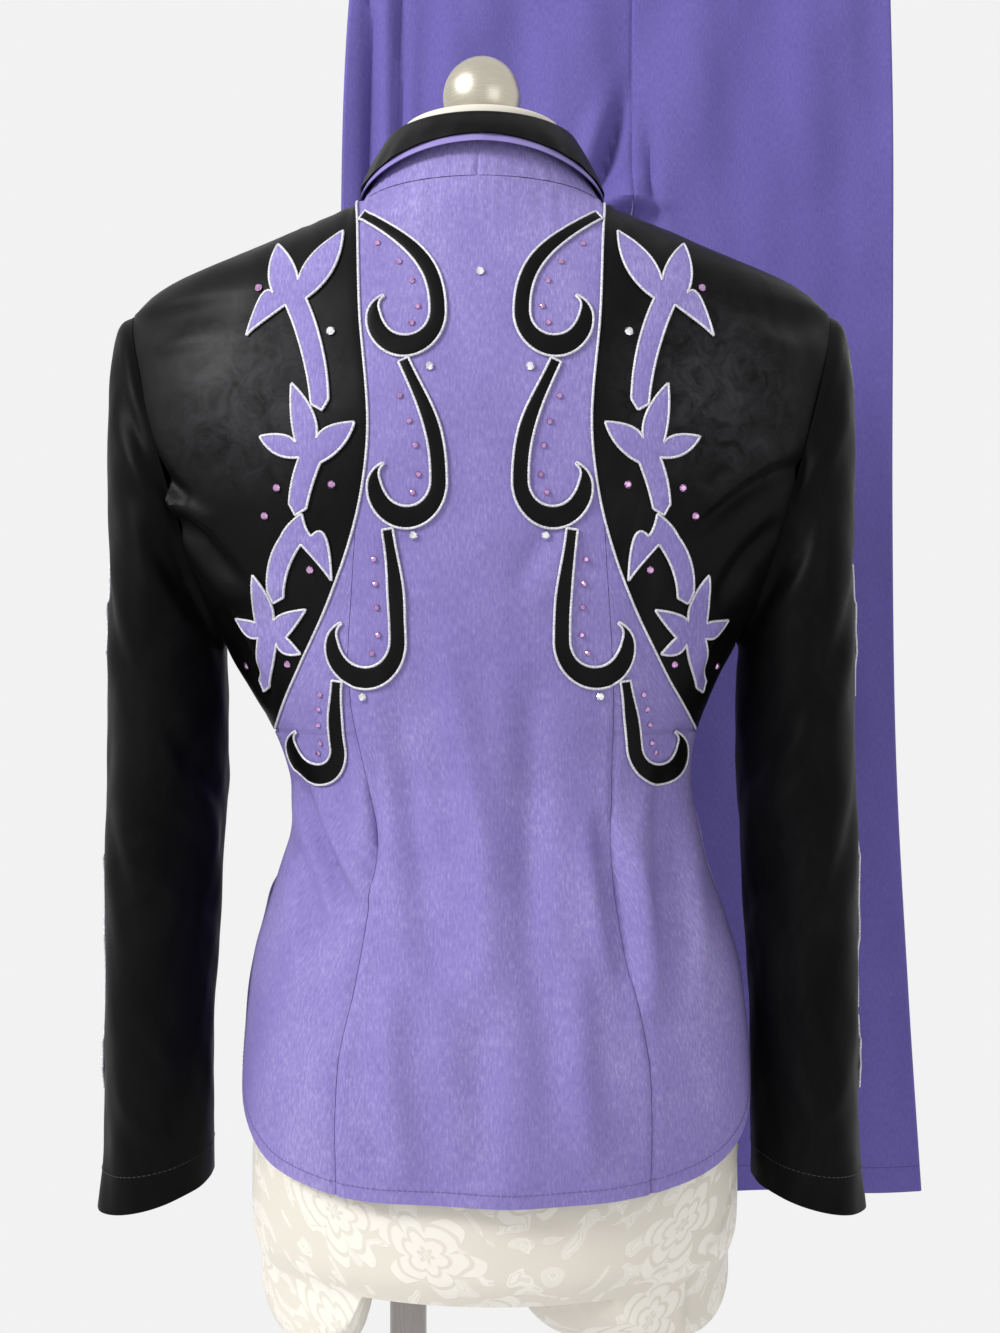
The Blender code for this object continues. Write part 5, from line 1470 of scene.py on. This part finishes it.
def stones(name, places, radius, lift, finish):
    """Flat-backed faceted stones on the back, joined in one piece."""
    rings = ((1.0, 0.0), (1.0, 0.22), (0.62, 0.66), (0.50, 0.72))  # reach and rise, in radii
    sides = 8
    points, faces = [], []
    for number, (x, z) in enumerate(places):
        centre = over_back(x, z, np.array(lift))
        t = t_at(-1, x, z)
        normal = jacket_normal(-1, t, np.array(z))
        side = unit(np.cross(normal, np.array([0.2, 0.1, 1.0])))
        up = np.cross(normal, side)
        base = len(points)
        for ring, (share, rise) in enumerate(rings):
            for i in range(sides):
                a = 2 * math.pi * (i + (ring // 2) * 0.5 + number * 0.37) / sides
                offset = (side * math.cos(a) + up * math.sin(a)) * radius * share
                points.append(centre + offset + normal * rise * radius)
        for ring in range(len(rings) - 1):
            for i in range(sides):
                k = (i + 1) % sides
                a, b = base + ring * sides + i, base + ring * sides + k
                c, d = a + sides, b + sides
                faces += [[a, b, c], [b, d, c]]
        faces.append([base + i for i in reversed(range(sides))])
        faces.append([base + (len(rings) - 1) * sides + i for i in range(sides)])
    add_mesh(name, points, faces, finish, sharp=0)


def nearest(place, border):
    """Distance from a place to a closed outline, nought if it lies inside."""
    away, inside = from_edge(np.array([tuple(place)]), np.array([tuple(p) for p in border]))
    return 0.0 if inside[0] else float(away[0])


def all_stones():
    clear, pink = [CLEAR_CENTRE], []
    borders = [sprig_outline(sprig, 0.004) for sprig in SPRIGS]
    bands = [scroll_outline(row) for row in SCROLLS]
    yoke_pink, yoke_clear = [], []
    for side in (-1, 1):
        for row in SCROLLS:
            for u in SCROLL_STONES:
                off = scroll_half_width(u) + STONE_INSIDE
                spot = scroll_centre(row, u) + scroll_across(row, u) * off
                pink.append((side * spot.x, spot.y))
        for row in SCROLLS[1:]:
            x, z = row["top_x"] + CLEAR_BESIDE[0], row["top_z"] + CLEAR_BESIDE[1]
            while min(nearest((x, z), band) for band in bands) < STONE_ROOM:
                z -= 0.001
            clear.append((side * x, z))
        for number, sprig in enumerate(SPRIGS):
            foot = Vector((sprig["foot_x"], sprig["foot_z"]))
            stem = Vector((sprig["crown_x"], sprig["crown_z"])) - foot
            across = Vector((stem.y, -stem.x)).normalized()
            for row in STEM_STONES:
                spot = foot + stem * row["share"] + across * row["off"]
                if min(nearest(spot, border) for border in borders) < STONE_ROOM:
                    continue
                kind = yoke_clear if number == 0 and row["off"] < 0 else yoke_pink
                kind.append((side * spot.x, spot.y))
    for row, places in zip(STONES, (clear, yoke_clear, pink, yoke_pink)):
        stones(row["name"], places, row["radius"], row["lift"], row["finish"])


def stitches(name, lines, finish):
    """Rows of single stitches along paths on the cloth."""
    points, faces = [], []
    for line in lines:
        spots = resampled(line, STITCH_PITCH, False)
        along = unit(np.gradient(spots, axis=0))
        side = unit(np.cross(along, np.array([0.13, 0.31, 0.94])))
        up = np.cross(side, along)
        for p, w, s, u in zip(spots, along, side, up):
            base = len(points)
            for end, size in ((-0.5, 0.35), (-0.3, 1.0), (0.3, 1.0), (0.5, 0.35)):
                for a in (0, QUARTER, 2 * QUARTER, 3 * QUARTER):
                    off = (s * math.cos(a) + u * math.sin(a)) * THREAD_RADIUS * size
                    points.append(p + w * end * STITCH + off)
            for ring in range(3):
                for i in range(4):
                    a, b = base + ring * 4 + i, base + ring * 4 + (i + 1) % 4
                    faces.append([a, b, b + 4, a + 4])
            faces += [[base + 3, base + 2, base + 1, base], [base + 12, base + 13, base + 14, base + 15]]
    add_mesh(name, points, faces, finish, sharp=60)


def all_stitches():
    t = np.linspace(-0.995, 0.995, 300)
    height = column(HEM, "z", np.abs(t), "t") + HEM_STITCH
    lines = [surface(facing, t, height, THREAD_LIFT) for facing in (-1, 1)]
    stitches("hem_stitches", lines, "thread_lavender_groove_shade")
    turn = np.linspace(0, 2 * math.pi, 120)
    for side, word in SIDES:
        line = sleeve_surface(side, turn, LAST - 0.85, THREAD_LIFT)
        stitches("cuff_stitches_" + word, [line], "thread_black")


# Placket

def placket():
    z = rows_between(0.7735, NECK_Z - NECK_DROP - 0.001, 0.004)
    x = np.linspace(-PLACKET_HALF, PLACKET_HALF, 15)
    grid_x, grid_z = np.meshgrid(x, z)
    t = t_at(1, grid_x, grid_z)
    past_edge = np.abs(grid_x) - PLACKET_HALF
    rise = PLACKET_RISE - 0.0007 * smooth((past_edge + 0.0015) / 0.0015)
    rise = rise - 0.0003 * hill(past_edge + PLACKET_STITCH, 0.0008)
    outer = surface(1, t, grid_z, rise)
    inner = surface(1, t, grid_z, 0.0003)
    cloth("placket", outer, inner, "lavender")
    z = np.linspace(0.778, 1.340, 200)
    edges = (-PLACKET_HALF + PLACKET_STITCH, PLACKET_HALF - PLACKET_STITCH)
    lines = [surface(1, t_at(1, np.full(len(z), x), z), z, PLACKET_RISE) for x in edges]
    stitches("placket_stitches", lines, "thread_lavender_groove_shade")


# Dress form

def form_sizes(z):
    """Half width and depths of the form: by its table, under the jacket's shoulders, and at the neck."""
    low = np.minimum(z, SHOULDER_TOP)
    under = (SOLID_CLOTH + GAP) / math.cos(SHOULDER_SLOPE) + 0.0001
    width = np.minimum(FORM[-1]["half_width"], column(RIDGE, "half_width", low + under))
    rise = np.clip((z - SHOULDER_TOP) / (NECK[0]["z"] - SHOULDER_TOP), 0, 1) ** 0.45
    result = []
    for name in ("half_width", "back", "front"):
        middle = width
        if name != "half_width":
            middle = np.minimum(column(BODY, name, low) - 0.0065, FORM[-1][name])
        value = np.where(z <= FORM[-1]["z"], column(FORM, name, z), mix(middle, NECK[0][name], rise))
        result.append(np.where(z >= NECK[0]["z"], column(NECK, name, z), value))
    return result


def underside(x, y):
    """Height of the form's underside: flat round the pole, with a soft stump at each side."""
    drop = np.zeros(np.broadcast(x, y).shape)
    for lobe in LOBES:
        across, along = (x - lobe["x"]) / lobe["rx"], np.abs(y / lobe["ry"])
        power = np.where(across < 0, lobe["left_power"], lobe["right_power"])
        full = 1 - np.abs(across) ** power - along**3
        drop = np.maximum(drop, lobe["depth"] * np.sqrt(np.clip(full, 0, 1)))
    return UNDERSIDE_Z - drop


def form_sides(z, a):
    """The form's sides, with the seam at the centre back and the one over a stump."""
    width, back, front = form_sizes(z)
    behind = np.cos(a) > 0
    x = width * np.sin(a)
    y = -np.where(behind, back, front) * np.cos(a)
    off = z - 0.697 - 0.071 * (np.maximum(0, x - 0.105) / 0.060) ** 2
    welt = 0.0012 * hill(off, 0.0016) - 0.0022 * hill(off + 0.0045, 0.0030)
    welt = welt * smooth((x - 0.015) / 0.02) * behind
    middle = -0.0010 * hill(x + 0.003, 0.0012) * behind * smooth((0.9 - z) / 0.05)
    swell = 1 + (welt + middle) / 0.11
    return stack(x * swell + sway(z), y * swell, z)


def form_torso():
    """Padded torso with a flat underside and two soft stumps, covered in figured cloth."""
    z = np.concatenate([
        [UNDERSIDE_Z],
        np.linspace(0.706, SHOULDER_TOP, 150),
        np.linspace(1.398, NECK[0]["z"], 12),
        np.linspace(1.420, NECK[-1]["z"], 12),
    ])
    around = 160
    sides = form_sides(z[:, None], np.linspace(0, 2 * math.pi, around + 1)[None, :])
    border = sides[0]
    hub = np.array([float(sway(z[0])), 0.0])
    inside = np.linspace(0, 1, 60)[::-1, None, None] ** 0.6
    flat = hub + (border[:, :2] - hub) * inside
    below = np.concatenate([flat, underside(flat[..., 0], flat[..., 1])[..., None]], axis=2)
    steps = [mix(below[0], border, k) for k in (0.25, 0.5, 0.75)]
    grid = np.concatenate([below[:-1][::-1], steps, sides])
    points = grid.reshape(-1, 3)
    index = np.arange(len(points)).reshape(grid.shape[:2])
    faces = quads(index)
    down = np.linalg.norm(np.diff(grid, axis=0), axis=2)
    down = np.concatenate([np.zeros((1, around + 1)), np.cumsum(down, axis=0)])
    waist = grid[len(grid) // 2]
    run = np.concatenate([[0], np.cumsum(np.linalg.norm(np.diff(waist, axis=0), axis=1))])
    uv = stack(run[None, :], down - down[-1:]).reshape(-1, 2)
    bottom = len(points)
    points = np.concatenate([points, [[hub[0], 0, UNDERSIDE_Z], [0, 0, z[-1]]]])
    uv = np.concatenate([uv, [[0, 0], [0, 0]]])
    faces += [[int(index[0, i + 1]), int(index[0, i]), bottom] for i in range(around)]
    faces += [[int(index[-1, i]), int(index[-1, i + 1]), bottom + 1] for i in range(around)]
    made = add_mesh("dress_form", points, faces, "ivory", uv, 60)
    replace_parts(made, "form_torso")


def turned(name, node, profile, finish, segments, x=0.0):
    """A profile of radius and height turned round an upright axis, in place of a solid."""
    points, faces, rings = [], [], []
    for radius, z in profile:
        if radius == 0:
            rings.append([len(points)])
            points.append((x, 0, z))
            continue
        rings.append([len(points) + i for i in range(segments)])
        for i in range(segments):
            a = 2 * math.pi * i / segments
            points.append((x + radius * math.cos(a), radius * math.sin(a), z))
    for low, high in zip(rings, rings[1:]):
        for i in range(segments):
            k = (i + 1) % segments
            ring = [low[i % len(low)], low[k % len(low)], high[k % len(high)], high[i % len(high)]]
            faces.append(list(dict.fromkeys(ring)))
    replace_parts(add_mesh(name, points, faces, finish, sharp=35), node)


def form_stand():
    low = NECK[-1]["z"] + GAP
    profile = [(0, low), (CAP_HALF - 0.0012, low)]
    for i in range(9):
        a = math.pi * i / 8 - QUARTER
        height = (low + CAP_TOP) / 2 + (CAP_TOP - low) / 2 * math.sin(a)
        profile.append((CAP_HALF - 0.0025 + 0.0025 * math.cos(a), height))
    profile += [(CAP_HALF - 0.004, CAP_TOP), (0, CAP_TOP)]
    turned("neck_cap", "form_neck_cap", profile, "ivory", 96)
    foot = CAP_TOP + GAP
    centre = foot + BALL_RADIUS * math.cos(math.radians(20))
    profile = [(0, foot), (0.0125, foot), (0.0130, CAP_TOP + 0.0010), (0.0125, CAP_TOP + 0.0020)]
    for i in range(49):
        a = math.radians(mix(27, 180, i / 48))
        profile.append((0 if i == 48 else BALL_RADIUS * math.sin(a), centre - BALL_RADIUS * math.cos(a)))
    turned("ball_finial", "form_finial", profile, "nickel", 96)
    top = UNDERSIDE_Z - GAP
    profile = [
        (0, 0.0453), (0.0127, 0.0453), (0.0127, 0.52), (0.0122, 0.5205), (0.0122, 0.5225),
        (0.0127, 0.523), (0.0127, top - 0.012), (0.0150, top - 0.011), (0.0158, top - 0.009),
        (0.0158, top), (0, top),
    ]
    turned("stand_pole", "form_pole", profile, "dark", 64, POLE_X)
    profile = [
        (0, 0), (0.186, 0), (0.189, 0.001), (0.190, 0.004), (0.190, 0.007), (0.1885, 0.0095),
        (0.185, 0.0115), (0.176, 0.0135), (0.150, 0.0150), (0.100, 0.0168), (0.050, 0.0190),
        (0.036, 0.0205), (0.028, 0.0235), (0.0235, 0.0275), (0.022, 0.033), (0.022, 0.0435),
        (0.0212, 0.0448), (0.0130, 0.0450), (0, 0.0450),
    ]
    turned("stand_base", "form_base", profile, "dark", 96, POLE_X)


# Trousers

def trouser_wave(x, z):
    """How far the trousers bulge toward the camera."""
    legs = LEG_WAVE * np.sin(x * 38 + z * 2.2) * smooth((1.45 - z) / 0.3)
    seat = SEAT_WAVE * np.sin((x - z * 0.16) * 60) * smooth((z - 1.45) / 0.15) * smooth((1.74 - z) / 0.1)
    fine = FINE_WAVE * np.sin(x * 140 + z * 9 + 2 * np.sin(z * 7)) * smooth((z - 0.66) / 0.1)
    total = legs + seat + fine
    for fold in TROUSER_FOLDS:
        up = z - fold["z"]
        across = x - TROUSERS_X - fold["x"] - fold["slant"] * up
        total = total + fold["height"] * hill(across, fold["wide"]) * hill(up, fold["high"])
    return total


def trouser_edges(side, z):
    """Inner and outer edge of a leg, from the trousers' middle line."""
    outer = column(TROUSERS, "left_outer" if side < 0 else "right_outer", z)
    inner = SEAM + 0.004 * smooth((CROTCH_Z - z) / 0.6)
    return inner, outer


def trouser_layer(side, facing, z, d, seated):
    """Points of one layer of a leg and the ways into its cloth; d runs from the inner edge to the outer,
    and seated is 1 above the crotch, where the two sides join."""
    inner, outer = trouser_edges(side, z)
    width = outer - inner
    curl_in = (1 - seated) * np.maximum(0.0, 1 - d / LAYER)
    curl_out = np.maximum(0.0, 1 - (width - d) / LAYER)
    curl = np.maximum(curl_in, curl_out)
    flat = np.sqrt(np.maximum(0.0, 1 - curl * curl))
    off = np.maximum(SEAM, LAYER * flat)
    sideways = side * np.where(curl_out >= curl_in, curl_out, -curl_in)
    x = TROUSERS_X + side * (inner + d)
    y = TROUSERS_Y - trouser_wave(x, z) + facing * off
    groove = 0.0012 * hill(d, 0.0018) * seated
    direction = unit(stack(-sideways, -facing * flat, 0 * x))
    return stack(x, y - facing * groove, z + 0 * x), direction


def trouser_legs():
    heights = np.concatenate([
        np.linspace(TROUSER_HEM, 1.40, 130),
        np.linspace(1.405, 1.60, 66),
        np.linspace(1.606, BAND_Z[0] - SEAM, 24),
    ])[:, None]
    rim = LAYER * np.array([[0.0, 0.12, 0.3, 0.55, 0.8, 1.0]])
    middle = np.linspace(0, 1, 52)[None, 1:-1]
    seated = smooth((heights - CROTCH_Z) / 0.028)
    thick = CLOTH * (1 + 0.5 * smooth((TROUSER_HEM + TURN_UP - heights) / 0.003))
    for side, word in SIDES:
        near, far = trouser_edges(side, heights)
        width = far - near
        between = LAYER + (width - 2 * LAYER) * middle
        d = np.concatenate([rim + 0 * width, between, width - rim[:, ::-1]], axis=1)
        for facing, face in ((-1, "back"), (1, "front")):
            outer, direction = trouser_layer(side, facing, heights, d, seated)
            inner = outer + direction * thick[..., None]
            cloth(f"trouser_{face}_{word}", outer, inner, "purple")


def trouser_waistband():
    low, high = BAND_Z
    z = np.linspace(low + SEAM, high, 11)
    left, right = trouser_edges(-1, z)[1], trouser_edges(1, z)[1]
    share = np.linspace(0, 1, 61)[None, :]
    puff = 0.0006 * np.sin(np.linspace(0, math.pi, len(z)))[:, None]

    def layer(facing):
        x = mix(-left[:, None] + 0.003, right[:, None] - 0.003, share)
        y = TROUSERS_Y - trouser_wave(TROUSERS_X + x, low) + facing * (LAYER + puff)
        return stack(TROUSERS_X + x, y, z[:, None]), stack(0 * x, -facing, 0)

    def end(sign, x):
        y = TROUSERS_Y - trouser_wave(TROUSERS_X + x, low)
        point = stack(TROUSERS_X + x, y, z)[:, None]
        return point, np.tile(np.array([-sign, 0.0, 0.0]), (len(z), 1, 1))

    (back, back_in), (front, front_in) = layer(-1), layer(1)
    (right_end, right_in), (left_end, left_in) = end(1.0, right), end(-1.0, -left)
    outer = np.concatenate([back, right_end, front[:, ::-1], left_end], axis=1)
    inward = np.concatenate([back_in, right_in, front_in[:, ::-1], left_in], axis=1)
    cloth(
        "trouser_waistband", outer, outer + inward * CLOTH, "purple",
        closed=True,
    )


def trouser_fly():
    z = np.linspace(1.58, BAND_Z[0] - SEAM, 40)[:, None]
    near, far = trouser_edges(1, z)
    d = mix(LAYER, 0.15 * (far - near), np.linspace(0, 1, 14)[None, :])
    inner = trouser_layer(1, 1, z, d, np.ones_like(z))[0] + np.array([0, 0.0005, 0])
    outer = inner + np.array([0, 0.0013, 0])
    cloth("trouser_fly", outer, inner, "purple")


def trouser_stitches():
    z = np.full(120, TROUSER_HEM + TURN_UP_STITCH)
    lines = []
    for side in (-1, 1):
        near, far = trouser_edges(side, z[:1])
        d = np.linspace(LAYER, float((far - near)[0]) - LAYER, len(z))
        for facing in (-1, 1):
            place = trouser_layer(side, facing, z, d, np.zeros(len(z)))[0]
            lines.append(place + np.array([0, facing * THREAD_LIFT, 0]))
    stitches("trouser_stitches", lines, "thread_purple")


# Solids that keep their shape

def repaint():
    """Gives the hanger, the wall hook and the snaps their metals."""
    finishes = {"hanger_bar": "chrome", "hanger_clip_left": "chrome", "hanger_clip_right": "chrome",
                "hanger_hook": "chrome", "wall_peg": "steel", "wall_plate": "steel"}
    finishes.update({f"snap_{i}": "steel" for i in range(1, 7)})
    for name, finish in finishes.items():
        node = bpy.data.objects[name]
        for place in node.material_slots:
            place.material = MADE[finish]


materials()
camera_and_light()
jacket_panels()
collar()
sleeves()
placket()
appliques()
sleeve_appliques()
all_stones()
all_stitches()
form_torso()
form_stand()
trouser_legs()
trouser_waistband()
trouser_fly()
trouser_stitches()
repaint()
